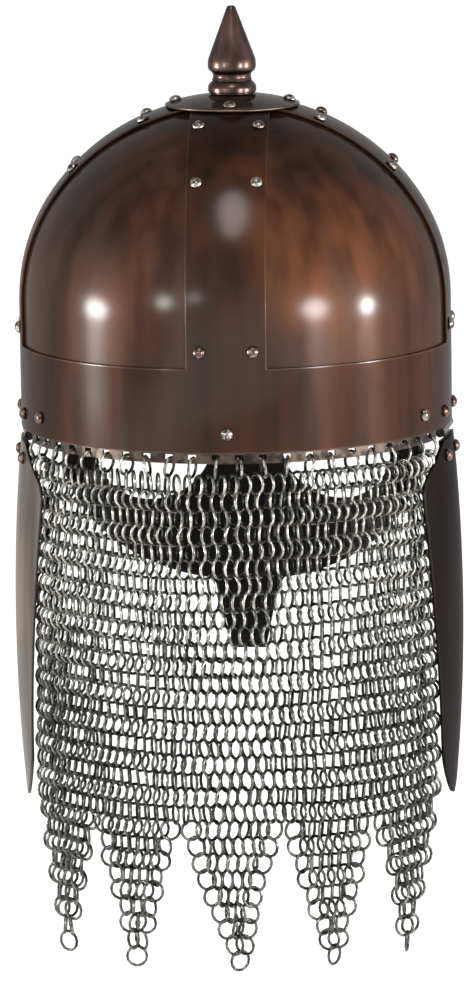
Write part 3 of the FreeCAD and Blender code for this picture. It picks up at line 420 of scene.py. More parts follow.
SKULL_STEEL = BrownedSteel("oil_browned_frame", dark="#1d100a", middle="#321d12", warm_share=0.58)
PANEL_STEEL = BrownedSteel("oil_browned_panels", dark="#27170f", middle="#3c2a21", warm_share=0.7)
# The disc is painted lighter than the frame: a painted reflection of the pale room on its flat top.
PAINTED_SHEEN_DISC_STEEL = BrownedSteel(
    "oil_browned_disc_painted_sheen", dark="#4a3c34", middle="#74655b", roughness=0.42, wax_roughness=0.12
)
# One plate steel in two copies: the left is painted lighter, with a pale rim tint as painted reflection, and
# the right is painted darker as painted shade.
LIT_AND_SHADED_PLATE_STEELS = {
    Side.LEFT: BrownedSteel(
        "oil_browned_left_plate_painted_light",
        dark="#554d47",
        middle="#7c726b",
        warm="#6a5245",
        worn="#5a504a",
        rim="#b0a8a0",
        roughness=0.42,
    ),
    Side.RIGHT: BrownedSteel(
        "oil_browned_right_plate_painted_shade",
        dark="#1a1110",
        middle="#33221f",
        warm="#43281f",
        worn="#40342e",
        rim="#43332e",
        roughness=0.42,
        wax=0.1,
    ),
}
GUARD_STEEL = BrownedSteel(
    "oil_browned_guard",
    dark="#241a16",
    middle="#382a24",
    worn="#4a3f39",
    warm_share=0.3,
    roughness=0.36,
    wax=0.15,
)
SPIKE_STEEL = BrownedSteel(
    "oil_browned_spike",
    dark="#2e1f1b",
    middle="#523b34",
    warm="#5a3a2e",
    roughness=0.36,
    wax=0.4,
    wax_roughness=0.2,
    streak=4 * MM,
    patch=14 * MM,
    wave_depth=0.05 * MM,
)
RIVET_STEEL = PlainSteel(
    "worn_rivet_steel",
    "rivet_steel",
    light="#9d978f",
    dull="#2a2420",
    oxide_share=0.7,
    roughness=0.34,
    patch=1.9 * MM,
)
BROWN_RIVET_STEEL = PlainSteel(
    "brown_rivet_steel", "rivet_steel", light="#6e5a4e", dull="#2a1f1a", patch=1.9 * MM
)
# The mail's wire, with painted shade towards the bottom and deep in the weave.
WIRE_STEEL = PlainSteel(
    "wire_steel_painted_shade",
    "mail",
    light="#aaa8a0",
    dull="#504f4a",
    oil_share=0.68,
    deep_share=0.82,
    roughness=0.3,
    pit_depth=0.01 * MM,
)
STRIP_STEEL = PlainSteel("worn_strip_steel", "strip_steel", light="#50463f", dull="#2a2420")
HINGE_STEEL = PlainSteel("dark_hinge_steel", "hinge_steel", light="#4b443f", dull="#241f1d")
LINER_LEATHER = OiledLeather("oiled_leather", "liner_leather")
LACE_LEATHER = OiledLeather("lace_leather", "lace_cord", hide="#5a3a22", grain=0.8 * MM)
STITCH_THREAD = OiledLeather("waxed_thread", "lace_cord", hide="#b39a70", crease="#7d6540")
STUDIO_PAPER = PlainPaper("studio_paper", "none")


# Mesh helpers


def new_object(name: str, data: bpy.types.ID) -> bpy.types.Object:
    """An object in the scene, made of its data."""
    item = bpy.data.objects.new(name, data)
    bpy.context.scene.collection.objects.link(item)
    return item


def link(mesh: bpy.types.Mesh, name: str, finish: Finish) -> bpy.types.Object:
    """A mesh in the scene with its finish."""
    mesh.materials.clear()
    mesh.materials.append(finish.material())
    return new_object(name, mesh)


def plain_mesh(item: bpy.types.Object, **options: bool) -> bpy.types.Mesh:
    """An object's mesh as its modifiers make it."""
    graph = bpy.context.evaluated_depsgraph_get()
    return bpy.data.meshes.new_from_object(item.evaluated_get(graph), depsgraph=graph, **options)


def settle(item: bpy.types.Object, crease: float = math.radians(35)) -> None:
    """Turn an object's modifiers into plain mesh, smooth but for edges past the crease's angle."""
    mesh = plain_mesh(item, preserve_all_data_layers=True)
    item.modifiers.clear()
    item.data = mesh
    mesh.polygons.foreach_set("use_smooth", [True] * len(mesh.polygons))
    mesh.set_sharp_from_angle(angle=crease)


def dressed(item: bpy.types.Object, body: str, finish: Finish, *nodes: str) -> None:
    """Tie a finished piece to its body and the nodes that it replaces.

    Args:
        item: The piece.
        body: The body that it rides on.
        finish: Not used.
        nodes: The nodes that it stands for.
    """
    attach(item, body)
    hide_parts(*nodes)
    log.info("%s: %d faces on %s", item.name, len(item.data.polygons), body)


def coat(node: str, finish: Finish) -> None:
    """Give a node of the frame, whose shape stays, its finish."""
    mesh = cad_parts[node].data
    mesh.materials.clear()
    mesh.materials.append(finish.material())
    log.info("%s: keeps its solid, in %s", node, finish.name)


def around(radius: float, turns: Iterable[float], height: float) -> list[tuple[float, float, float]]:
    """Points on a level circle about the helmet's axis, at angles in radians."""
    return [(radius * math.cos(turn), radius * math.sin(turn), height) for turn in turns]


def full_turn(steps: int) -> np.ndarray:
    """Even angles once round."""
    return np.linspace(0, math.tau, steps, endpoint=False)


def surface(name: str, grids: Sequence[np.ndarray], round_ways: Sequence[bool]) -> bpy.types.Mesh:
    """Join grids of points into one open surface whose border is marked as worn.

    Columns of a grid run anticlockwise seen from above and its rows run upwards, so the
    faces look away from the helmet's axis.

    Args:
        name: The mesh's name.
        grids: Arrays of rows by columns by 3.
        round_ways: For each grid, whether its last column meets its first.

    Returns:
        The mesh, with equal points merged.
    """
    shell = bmesh.new()
    for points, round_way in zip(grids, round_ways):
        rows, columns, _ = points.shape
        corners = [[shell.verts.new(points[r, c]) for c in range(columns)] for r in range(rows)]
        for low, high in zip(corners, corners[1:]):
            for c in range(columns if round_way else columns - 1):
                after = (c + 1) % columns
                shell.faces.new((low[c], low[after], high[after], high[c]))
    bmesh.ops.remove_doubles(shell, verts=shell.verts, dist=0.02 * MM)
    layer = shell.verts.layers.float.new("wear")
    for vertex in shell.verts:
        vertex[layer] = 1.0 if vertex.is_boundary else 0.0
    mesh = bpy.data.meshes.new(name)
    shell.to_mesh(mesh)
    shell.free()
    return mesh


def mark_inside(mesh: bpy.types.Mesh) -> None:
    """Mark the points whose surface looks towards the helmet's axis, where painted shade darkens the inner
    faces.
    """
    layer = mesh.attributes.new("inside", "FLOAT", "POINT")
    for number, vertex in enumerate(mesh.vertices):
        outward = Vector((vertex.co.x, vertex.co.y, max(0.0, vertex.co.z)))
        layer.data[number].value = 1.0 if vertex.normal.dot(outward) < 0 else 0.0


@dataclass(frozen=True)
class Sheet:
    """Sheet metal or leather of one thickness, with rounded edges."""

    finish: Finish
    thickness: float
    edge: float

    def piece(self, name: str, mesh: bpy.types.Mesh, nodes: Sequence[str], body: str = ROOT) -> None:
        """Give an open outer surface its thickness, inwards, and its rounded edges.

        Args:
            name: The piece's name.
            mesh: The outer surface.
            nodes: The nodes that it replaces.
            body: The body that it rides on.
        """
        item = link(mesh, name, self.finish)
        solid = item.modifiers.new("thickness", "SOLIDIFY")
        solid.thickness = self.thickness
        solid.offset = -1.0
        bevel = item.modifiers.new("edges", "BEVEL")
        bevel.width = self.edge
        bevel.segments = 3
        bevel.angle_limit = math.radians(50)
        settle(item)
        mark_inside(item.data)
        dressed(item, body, self.finish, *nodes)


def rounded(corners: Sequence[tuple[float, float, float]], steps: int = 5) -> list:
    """Round the corners of a profile.

    Args:
        corners: Radius, height and corner radius of each point.
        steps: Points along each rounded corner.

    Returns:
        Radius and height of each point of the rounded profile.
    """
    points = []
    for number, (r, z, radius) in enumerate(corners):
        here = Vector((r, z))
        if radius <= 0 or number in (0, len(corners) - 1):
            points.append((r, z))
            continue
        before = Vector(corners[number - 1][:2]) - here
        after = Vector(corners[number + 1][:2]) - here
        reach = min(radius, 0.45 * before.length, 0.45 * after.length)
        start = here + before.normalized() * reach
        stop = here + after.normalized() * reach
        for t in (step / steps for step in range(steps + 1)):
            spot = start * (1 - t) ** 2 + here * 2 * t * (1 - t) + stop * t**2
            points.append((spot.x, spot.y))
    return points


def arc_points(
    start: tuple[float, float], stop: tuple[float, float], radius: float, side: int, steps: int
) -> np.ndarray:
    """Points along a circular arc between two points of a plane.

    Args:
        start: Where the arc starts.
        stop: Where it ends.
        radius: Its radius.
        side: +1 where it swells to the left of the way along it, -1 to the right.
        steps: How many steps it has.

    Returns:
        An array of steps + 1 points.
    """
    a, b = np.array(start), np.array(stop)
    chord = b - a
    length = float(np.linalg.norm(chord))
    left = np.array((-chord[1], chord[0])) / length
    height = math.sqrt(radius**2 - length**2 / 4)
    centre = (a + b) / 2 - side * left * height
    first = math.atan2(*(a - centre)[::-1])
    half = math.asin(length / 2 / radius)
    turns = first - side * np.linspace(0, 2 * half, steps + 1)
    return centre + radius * np.column_stack((np.cos(turns), np.sin(turns)))


def with_borders(start: float, stop: float, count: int, border: float) -> np.ndarray:
    """Even steps between two values, with one more step close to each end."""
    even = np.linspace(start, stop, count)
    inset = math.copysign(border, stop - start)
    return np.array([start, start + inset, *even[1:-1], stop - inset, stop])


def hand_raised(points: np.ndarray, wave: float = 36 * MM, depth: float = 0.22 * MM) -> np.ndarray:
    """Move points a little off a smooth surface, towards or away from the dome's middle.

    The shift depends on the place alone, so sheets that lie on each other move together.

    Args:
        points: Rows by columns by 3.
        wave: Distance between two hollows.
        depth: How far a point moves at most.

    Returns:
        The moved points.
    """
    moved = points.copy()
    for index in np.ndindex(points.shape[:2]):
        spot = Vector(points[index])
        outward = Vector((spot.x, spot.y, max(0.0, spot.z))).normalized()
        moved[index] = spot + outward * (noise.noise(spot / wave) * depth)
    return moved


# The skull's section


@dataclass(frozen=True)
class DomeSection:
    """Section of a dome: an upright wall, a shoulder's arc and a crown's arc."""

    radius: float
    wall: float = 60 * MM
    inset: float = 12 * MM
    lift: float = 5 * MM

    @property
    def shoulder(self) -> float:
        """Radius of the shoulder's arc."""
        return self.radius - self.inset

    @property
    def top(self) -> float:
        """Height of the dome's top."""
        return self.wall + self.shoulder + self.lift

    @property
    def crown(self) -> float:
        """Radius of the crown's arc, which meets the shoulder's squarely."""
        rise = self.shoulder + self.lift
        return (self.inset**2 + rise**2 - self.shoulder**2) / (2 * self.lift)

    @property
    def centre(self) -> float:
        """Height of the middle of the crown's arc."""
        return self.top - self.crown

    @property
    def slope(self) -> float:
        """Angle above level where the shoulder's arc meets the crown's."""
        return math.atan2(self.wall - self.centre, self.inset)

    def normal_spot(self, height: float, depth: float = 0.0) -> tuple[float, float, float]:
        """Radius, height and normal's angle of the point at a surface height.

        Args:
            height: Height of the point on the outer surface.
            depth: How far below the surface the wanted point lies.

        Returns:
            Radius, height and the outward normal's angle above level.
        """
        if height <= self.wall:
            return self.radius - depth, height, 0.0
        if height <= self.centre + self.crown * math.sin(self.slope):
            tilt = math.asin((height - self.wall) / self.shoulder)
            reach = self.shoulder - depth
            return self.inset + reach * math.cos(tilt), self.wall + reach * math.sin(tilt), tilt
        tilt = math.asin(min(1.0, (height - self.centre) / self.crown))
        reach = self.crown - depth
        return reach * math.cos(tilt), self.centre + reach * math.sin(tilt), tilt

    def height_at(self, radius: float) -> float:
        """Height of the outer surface of the crown's arc at a radius."""
        return self.centre + math.sqrt(self.crown**2 - radius**2)

    def profile(self, bottom: float, closing_radius: float, step: float, depth: float = 0.0) -> np.ndarray:
        """Points up the dome from a lower edge to a radius near the top.

        Args:
            bottom: Height of the lower edge.
            closing_radius: Radius at which the profile ends.
            step: Length of a step along the surface.
            depth: How far below the outer surface the points lie.

        Returns:
            An array of radius and height.
        """
        heights = []
        if bottom < self.wall:
            count = max(2, round((self.wall - bottom) / step))
            heights += [*with_borders(bottom, self.wall, count + 1, 1 * MM)[:-2], self.wall]
        count = max(2, round(self.slope * self.shoulder / step))
        tilts = np.linspace(0, self.slope, count + 1)[1:]
        heights += [self.wall + self.shoulder * math.sin(tilt) for tilt in tilts]
        last = math.acos(closing_radius / self.crown)
        count = max(2, round((last - self.slope) * self.crown / step))
        tilts = np.linspace(self.slope, last, count + 1)[1:]
        heights += [self.centre + self.crown * math.sin(tilt) for tilt in tilts]
        return np.array([self.normal_spot(h, depth)[:2] for h in heights])


# Geometry Nodes that repeat a piece


def start_tree(name: str, sizes: dict[str, float | int]) -> tuple[Wiring, Sequence[Socket]]:
    """Start a Geometry Nodes tree with named inputs, the last of which is its material.

    Args:
        name: The tree's name.
        sizes: Default value of each input.

    Returns:
        The tree's wiring and its inputs' sockets.
    """
    tree = bpy.data.node_groups.new(name, "GeometryNodeTree")
    new = tree.interface.new_socket
    new(name="Geometry", in_out="INPUT", socket_type="NodeSocketGeometry")
    for label, value in sizes.items():
        kind = "NodeSocketInt" if isinstance(value, int) else "NodeSocketFloat"
        new(name=label, in_out="INPUT", socket_type=kind).default_value = value
    new(name="Material", in_out="INPUT", socket_type="NodeSocketMaterial")
    new(name="Geometry", in_out="OUTPUT", socket_type="NodeSocketGeometry")
    wires = Wiring(tree)
    return wires, wires.add("NodeGroupInput").outputs


def repeat(
    name: str, tree: bpy.types.NodeTree, spots: Iterable[Sequence[float]], marks: dict, values: dict
) -> bpy.types.Object:
    """Run a tree on marked points and keep the result as plain mesh.

    Args:
        name: The object's name.
        tree: The tree.
        spots: The points.
        marks: For each mark's name, one number or vector for each point.
        values: Values of the tree's named inputs.

    Returns:
        The object.
    """
    points = bpy.data.meshes.new(name)
    points.from_pydata([tuple(spot) for spot in spots], [], [])
    for label, numbers in marks.items():
        flat = np.array(numbers, dtype=np.float32)
        kind, key = ("FLOAT_VECTOR", "vector") if flat.ndim == 2 else ("FLOAT", "value")
        points.attributes.new(label, kind, "POINT").data.foreach_set(key, flat.ravel())
    item = new_object(name, points)
    modifier = item.modifiers.new("repeat", "NODES")
    modifier.node_group = tree
    for socket in tree.interface.items_tree:
        if socket.item_type == "SOCKET" and socket.in_out == "INPUT" and socket.name in values:
            modifier[socket.identifier] = values[socket.name]
    mesh = plain_mesh(item)
    item.modifiers.clear()
    item.data = mesh
    return item


@dataclass(frozen=True)
class RivetPlace:
    """Where a rivet's head sits, which way it looks and how much sheet it grips."""

    spot: Vector
    outward: Vector
    grip: float


def ring_place(
    heading: float, lateral: float, radius: float, height: float, grip: float, tilt: float = 0.0
) -> RivetPlace:
    """Place on a round surface.

    Args:
        heading: Degrees from +X about +Z.
        lateral: Distance square to the heading.
        radius: Radius of the surface there.
        height: Height of the place.
        grip: Thickness that the rivet holds together.
        tilt: The normal's angle above level.

    Returns:
        The place.
    """
    turn = math.radians(heading) + math.asin(lateral / radius)
    level = Vector((math.cos(turn), math.sin(turn), 0.0))
    outward = level * math.cos(tilt) + Vector((0, 0, math.sin(tilt)))
    return RivetPlace(level * radius + Vector((0, 0, height)), outward, grip)


@dataclass(frozen=True)
class RivetSet:
    """Round-head rivets whose heads were closed with a hammer, so they have flat dents."""

    head_radius: float = 3.1 * MM
    head_height: float = 2.5 * MM
    shank_radius: float = 1.5 * MM
    tail_radius: float = 2.5 * MM
    tail_height: float = 0.9 * MM
    seat: float = 0.06 * MM
    dent: float = 1.9 * MM
    dent_depth: float = 0.5 * MM
    dent_level: float = 0.62
    seed: int = 7

    def dome(self, wires: Wiring, radius: Socket, height: Socket) -> Socket:
        """The upper half of a ball, squashed to a radius and a height, with a flat underside."""
        ball = wires.first("GeometryNodeMeshUVSphere", {"Segments": 18, "Rings": 12, "Radius": 1.0})
        x, y, z = wires.axes(wires.first("GeometryNodeInputPosition"))
        wide = [wires.maths("MULTIPLY", axis, radius) for axis in (x, y)]
        tall = wires.maths("MULTIPLY", wires.maths("MAXIMUM", z, 0.0), height)
        return wires.moved(ball, Position=wires.combined(*wide, tall))

    def beaten(self, wires: Wiring, heads: Socket, size: Socket, depth: Socket) -> Socket:
        """Heads with a hammer's dents, drawn by a noise that pushes each point along its normal."""
        dents = wires.noise(wires.first("GeometryNodeInputPosition"), size, 1.0)
        push = wires.maths("MULTIPLY", wires.maths("SUBTRACT", dents, self.dent_level), depth)
        return wires.moved(heads, Offset=wires.scaled(wires.first("GeometryNodeInputNormal"), push))

    def tree(self) -> bpy.types.NodeTree:
        """The tree that puts a head, a shank and a tail on each point."""
        made = bpy.data.node_groups.get("rivets")
        if made is not None:
            return made
        sizes = {
            "Head Radius": self.head_radius,
            "Head Height": self.head_height,
            "Shank Radius": self.shank_radius,
            "Tail Radius": self.tail_radius,
            "Tail Height": self.tail_height,
            "Dent Size": self.dent,
            "Dent Depth": self.dent_depth,
            "Seed": self.seed,
        }
        wires, given = start_tree("rivets", sizes)
        outward, grip = wires.marked("outward", "FLOAT_VECTOR"), wires.marked("grip")
        facing = wires.first("FunctionNodeAlignRotationToVector", {"Vector": outward}, axis="Z")
        spin = wires.combined(z=wires.drawn(0.0, math.tau, given["Seed"]))
        turns = {"Rotation": facing, "Rotate By": spin}
        spun = wires.first("FunctionNodeRotateRotation", turns, rotation_space="LOCAL")
        head = self.dome(wires, given["Head Radius"], given["Head Height"])
        heads = wires.on_points(given["Geometry"], head, spun)
        tail = self.dome(wires, given["Tail Radius"], given["Tail Height"])
        inwards = wires.scaled(outward, wires.maths("MULTIPLY", grip, -1.0))
        back = wires.moved(given["Geometry"], Offset=inwards)
        tails = wires.first("GeometryNodeFlipFaces", {0: wires.on_points(back, tail, spun, (1.0, 1.0, -1.0))})
        cylinder = {"Vertices": 12, "Radius": given["Shank Radius"], "Depth": 1.0}
        shank = wires.first("GeometryNodeMeshCylinder", cylinder)
        lowered = wires.first("GeometryNodeTransform", {"Geometry": shank, "Translation": (0.0, 0.0, -0.5)})
        shanks = wires.on_points(given["Geometry"], lowered, facing, wires.combined(1.0, 1.0, grip))
        dented = self.beaten(wires, heads, given["Dent Size"], given["Dent Depth"])
        joined = wires.add("GeometryNodeJoinGeometry")
        for part in (dented, tails, shanks):
            wires.join(joined, {0: part})
        wires.close(joined.outputs[0], given["Material"])
        return wires.tree

    def make(
        self, node: str, body: str, places: Sequence[RivetPlace], finish: Finish, name: str = ""
    ) -> None:
        """Put rivets on their places, in the stead of a node of the frame.

        Args:
            node: The node that the rivets replace.
            body: The body that they ride on.
            places: Where they sit.
            finish: What they are made of.
            name: The piece's name, where it isn't the node's.
        """
        spots = [place.spot + place.outward * self.seat for place in places]
        marks = {
            "outward": [place.outward for place in places],
            "grip": [place.grip + 2 * self.seat for place in places],
        }
        values = {"Material": finish.material()}
        item = repeat(f"{name or node}_heads", self.tree(), spots, marks, values)
        item.data.set_sharp_from_angle(angle=math.pi)
        dressed(item, body, finish, node)


# The skull


@dataclass(frozen=True)
class Skull:
    """Brow band, four bands, four panels, the crown disc and their rivets."""

    section: DomeSection
    frame_sheet: Sheet = Sheet(SKULL_STEEL, 1.6 * MM, 0.45 * MM)
    panel_sheet: Sheet = Sheet(PANEL_STEEL, 1.2 * MM, 0.3 * MM)
    disc_sheet: Sheet = Sheet(PAINTED_SHEEN_DISC_STEEL, 1.6 * MM, 0.5 * MM)
    lap: float = 0.1 * MM
    brow_height: float = 40 * MM
    band_half: float = 19 * MM
    band_turn: float = math.radians(44)
    band_end: float = 5 * MM
    panel_bottom: float = 20 * MM
    panel_end: float = 6 * MM
    panel_gap: float = 0.5 * MM
    disc_bore: float = 4.1 * MM
    disc_radius: float = 32.5 * MM
    crown_rivet_radius: float = 27.4 * MM
    rivet_rows: tuple[float, ...] = (48 * MM, 124.5 * MM, 147.5 * MM)
    rivet_offsets: tuple[float, ...] = (12.6 * MM, 14.2 * MM, 14.2 * MM)
    step: float = 4 * MM
    border: float = 0.9 * MM

    def band_turns(self) -> np.ndarray:
        """Angles of a band's columns from its middle, where it meets the brow band."""
        return np.arcsin(with_borders(-self.band_half, self.band_half, 9, self.border) / self.section.radius)

    def band_grid(self, heading: float) -> np.ndarray:
        """Points of one band from the brow band to the crown.

        Args:
            heading: Degrees from +X to the band's middle.

        Returns:
            Rows up the band by columns across it.
        """
        shares = np.sin(self.band_turns()) * self.section.radius / self.band_half
        rows = []
        for radius, height in self.section.profile(self.brow_height, self.band_end, self.step):
            half = min(self.band_half, radius * math.sin(self.band_turn))
            turns = math.radians(heading) + np.arcsin(shares * half / radius)
            rows.append(around(radius, turns, height))
        return np.array(rows)

    def brow_grid(self) -> np.ndarray:
        """Points of the brow band, with columns where the bands start."""
        band = list(self.band_turns())
        start, stop = band[-1], math.pi / 2 + band[0]
        near = self.border / self.section.radius
        quarter = [*band, start + near, *np.linspace(start, stop, 24)[1:-1], stop - near]
        turns = [math.pi / 2 * n + turn for n in range(4) for turn in quarter]
        heights = with_borders(0, self.brow_height, 8, self.border)
        return np.array([around(self.section.radius, turns, height) for height in heights])

    def frame_piece(self) -> None:
        """The brow band and the four bands, which flow into each other with no seam."""
        grids = [self.brow_grid(), *(self.band_grid(90 * n) for n in range(4))]
        mesh = surface("skull_frame", [hand_raised(grid) for grid in grids], [True] + [False] * 4)
        bands = [f"{name}_band" for name in ("brow", "back", "left", "front", "right")]
        self.frame_sheet.piece("skull_frame", mesh, bands)

    def panel(self, node: str, heading: float) -> None:
        """One raised panel behind the bands.

        Args:
            node: The panel's node.
            heading: Degrees from +X to the panel's middle.
        """
        depth = self.frame_sheet.thickness + self.lap
        rows = []
        for radius, height in self.section.profile(self.panel_bottom, self.panel_end, self.step, depth):
            half = math.pi / 4 - self.panel_gap / radius
            rows.append(around(radius, math.radians(heading) + with_borders(-half, half, 36, 0.006), height))
        mesh = surface(node, [hand_raised(np.array(rows))], [False])
        self.panel_sheet.piece(f"{node}_sheet", mesh, [node])

    def disc(self) -> None:
        """The round disc that covers the bands' ends."""
        raised = replace(self.section, radius=self.section.radius + self.lap + self.disc_sheet.thickness)
        inner = [self.disc_bore, self.disc_bore + self.border]
        radii = [*inner, *np.linspace(8 * MM, 30 * MM, 9), self.disc_radius - self.border, self.disc_radius]
        rows = [around(radius, full_turn(96), raised.height_at(radius)) for radius in reversed(radii)]
        mesh = surface("crown_disc", [hand_raised(np.array(rows))], [True])
        self.disc_sheet.piece("crown_disc_sheet", mesh, ["crown_disc"])

    def rivets(self) -> None:
        """The rivets through the bands and the crown disc."""
        grip = self.frame_sheet.thickness + self.lap + self.panel_sheet.thickness
        places = []
        for quarter in range(4):
            for height, offset in zip(self.rivet_rows, self.rivet_offsets):
                radius, _, tilt = self.section.normal_spot(height)
                for side in Side:
                    places.append(ring_place(90 * quarter, side.value * offset, radius, height, grip, tilt))
        RivetSet().make("band_rivets", ROOT, places, RIVET_STEEL)
        radius, cover = self.crown_rivet_radius, self.lap + self.disc_sheet.thickness
        outer = self.section.crown + cover
        tilt = math.acos(radius / outer)
        height = self.section.centre + outer * math.sin(tilt)
        crown = [ring_place(90 * n, 0, radius, height, grip + cover, tilt) for n in range(4)]
        RivetSet().make("crown_rivets", ROOT, crown, RIVET_STEEL)

    def build(self) -> None:
        """Make every piece of the skull."""
        self.frame_piece()
        for number, name in enumerate(("back_left", "front_left", "front_right", "back_right")):
            self.panel(f"skull_panel_{name}", 45 - 90 * number)
        self.disc()
        self.rivets()


# The spike


@dataclass(frozen=True)
class Spike:
    """The turned spike on the crown disc, with its washer and nut inside."""

    foot: float
    stud_radius: float = 4 * MM
    stud_length: float = 15 * MM
    bead: float = 11.6 * MM
    groove: float = 11.0 * MM
    neck: float = 9.1 * MM
    tip: float = 2.2 * MM
    height: float = 41.8 * MM

    def profile(self) -> list:
        """Radius and height of the turned profile, from the stud's end to the tip."""
        z, bead, neck, groove = self.foot, self.bead, self.neck, self.groove
        corners = [
            (0.0, z - self.stud_length, 0.0),
            (self.stud_radius, z - self.stud_length, 0.5 * MM),
            (self.stud_radius, z, 0.0),
            (groove, z, 0.2 * MM),
            (groove, z + 0.5 * MM, 0.1 * MM),
            (bead, z + 0.7 * MM, 0.4 * MM),
            (bead, z + 3.6 * MM, 1.2 * MM),
            (neck + 0.9 * MM, z + 5.5 * MM, 0.5 * MM),
            (neck + 0.1 * MM, z + 6.0 * MM, 0.1 * MM),
            (neck + 0.5 * MM, z + 6.3 * MM, 0.1 * MM),
            (neck, z + 7.6 * MM, 1.0 * MM),
            (neck + 0.2 * MM, z + 9.6 * MM, 0.8 * MM),
            (bead - 0.5 * MM, z + 11.0 * MM, 0.5 * MM),
            (bead, z + 12.6 * MM, 1.5 * MM),
            (bead - 0.1 * MM, z + 16.0 * MM, 3.0 * MM),
            (self.tip + 0.1 * MM, z + self.height - 1.2 * MM, 0.8 * MM),
            (self.tip - 0.7 * MM, z + self.height, 0.5 * MM),
            (0.0, z + self.height, 0.0),
        ]
        return rounded(corners)

    def build(self) -> None:
        """Turn the spike about its axis and finish what holds it."""
        rows = [around(radius, full_turn(96), height) for radius, height in self.profile()]
        mesh = surface("finial", [np.array(rows)], [True])
        for vertex in mesh.attributes["wear"].data:
            vertex.value = 0.0
        item = link(mesh, "finial_turned", SPIKE_STEEL)
        settle(item)
        dressed(item, ROOT, SPIKE_STEEL, "finial")
        coat("finial_washer", HINGE_STEEL)
        coat("finial_nut", HINGE_STEEL)


# The mail


@dataclass(frozen=True)
class Mail:
    """Mail of linked wire rings that hangs from a slotted strip and ends in five tongues."""

    ring_radius: float = 4.6 * MM
    wire: float = 1.5 * MM
    stretch: float = 1.035
    leans: tuple[float, float] = (60.0, -58.0)
    free_share: float = 0.4
    looseness: float = 7.0
    hanger_looseness: float = 16.0
    drift: float = 5 * MM
    sag: float = 1.8 * MM
    sag_offset: float = 7.3
    drift_length: float = 52 * MM
    ring_pitch: float = 4.87 * MM
    row_pitch: float = 7.907 * MM
    rows: int = 21
    tongues: int = 5
    tongue_rings: int = 10
    flattening_rows: int = 3
    plan_radius: float = 102 * MM
    turn_angle: float = 56.0
    turn_radius: float = 60 * MM
    hanger_radius: float = 101.7 * MM
    hanger_height: float = -6.9 * MM
    slots: int = 22
    slot_pitch: float = 6.3
    rivet_turn: float = 61.6
    rivet_radius: float = 104 * MM
    rivet_height: float = 9.3 * MM
    rivet_grip: float = 6.3 * MM
    steps_round: int = 14
    steps_wire: int = 5
    seed: int = 11

    def plan_point(self, along: float) -> tuple[np.ndarray, float]:
        """Where the mail hangs in plan.

        Args:
            along: Distance along the mail from the back's middle, positive towards +X.

        Returns:
            The point and the heading, in degrees, that the mail faces there.
        """
        side = math.copysign(1.0, along)
        limit = math.radians(self.turn_angle)
        reach, centre = self.plan_radius, 0.0
        angle = abs(along) / reach
        if angle > limit:
            reach, centre = self.turn_radius, self.plan_radius - self.turn_radius
            angle = limit + (abs(along) - limit * self.plan_radius) / reach
        x = centre * math.sin(limit) + reach * math.sin(angle)
        y = centre * math.cos(limit) + reach * math.cos(angle)
        return np.array((side * x, y)), 90 - side * math.degrees(angle)

    def tree(self) -> bpy.types.NodeTree:
        """The tree that puts a wire ring on each point."""
        made = bpy.data.node_groups.get("mail_rings")
        if made is not None:
            return made
        sizes = {
            "Ring Radius": self.ring_radius,
            "Wire Radius": self.wire / 2,
            "Stretch": self.stretch,
            "Looseness": math.radians(self.looseness),
            "Ring Steps": self.steps_round,
            "Wire Steps": self.steps_wire,
            "Seed": self.seed,
        }
        wires, given = start_tree("mail_rings", sizes)
        loop, wire = (
            wires.first(
                "GeometryNodeCurvePrimitiveCircle",
                {"Resolution": given[f"{name} Steps"], "Radius": given[f"{name} Radius"]},
            )
            for name in ("Ring", "Wire")
        )
        ring = wires.first("GeometryNodeCurveToMesh", {"Curve": loop, "Profile Curve": wire})
        smooth = wires.first("GeometryNodeSetShadeSmooth", {"Geometry": ring})
        loose = given["Looseness"]
        slack = wires.maths("MULTIPLY", loose, -1.0)
        tip, swing = (
            wires.drawn(slack, loose, wires.maths("ADD", given["Seed"], float(n))) for n in range(2)
        )
        upright = wires.maths("ADD", tip, math.pi / 2)
        turn = wires.maths("ADD", wires.marked("turn"), swing)
        tall = wires.combined(1.0, given["Stretch"], 1.0)
        euler = wires.combined(upright, 0.0, turn)
        wires.close(wires.on_points(given["Geometry"], smooth, euler, tall), given["Material"])
        return wires.tree

    def rings(self, name: str, rings: list, body: str, node: str, looseness: float) -> None:
        """One plain mesh of rings for one body.

        Args:
            name: The piece's name.
            rings: For each ring, its middle and the heading, in degrees, that its face looks along.
            body: The body that they ride on.
            node: The node that they replace.
            looseness: How far, in degrees, a ring may be off at most.
        """
        marks = {"turn": [math.radians(turn + 90) for _, turn in rings]}
        values = {"Material": WIRE_STEEL.material(), "Looseness": math.radians(looseness)}
        item = repeat(name, self.tree(), [spot for spot, _ in rings], marks, values)
        dressed(item, body, WIRE_STEEL, node)

    def drape(self, along: float, row: int) -> tuple[float, float]:
        """Where a ring slid to, since mail never hangs quite evenly.

        Args:
            along: The ring's distance along the mail in an even weave.
            row: Its row, counted from the strip's rings.

        Returns:
            Its distance along the mail and its height.
        """
        place = Vector((along, row * self.row_pitch, 0.0)) / self.drift_length
        slide = self.drift * noise.noise(place)
        lower = self.sag * noise.noise(place + Vector((0.0, 0.0, self.sag_offset)))
        return along + slide, self.hanger_height - row * self.row_pitch + lower

    def curtain(self) -> None:
        """The hanging rows that go with the skull."""
        rings = []
        for row in range(1, self.rows + 1):
            count = self.tongues * self.tongue_rings - (self.rows - row) % 2
            for number in range(count):
                along, height = self.drape((number - (count - 1) / 2) * self.ring_pitch, row)
                point, heading = self.plan_point(along)
                rings.append(((*point, height), heading + self.leans[row % 2]))
        self.rings("mail_rows", rings, ROOT, "mail_curtain", self.looseness)

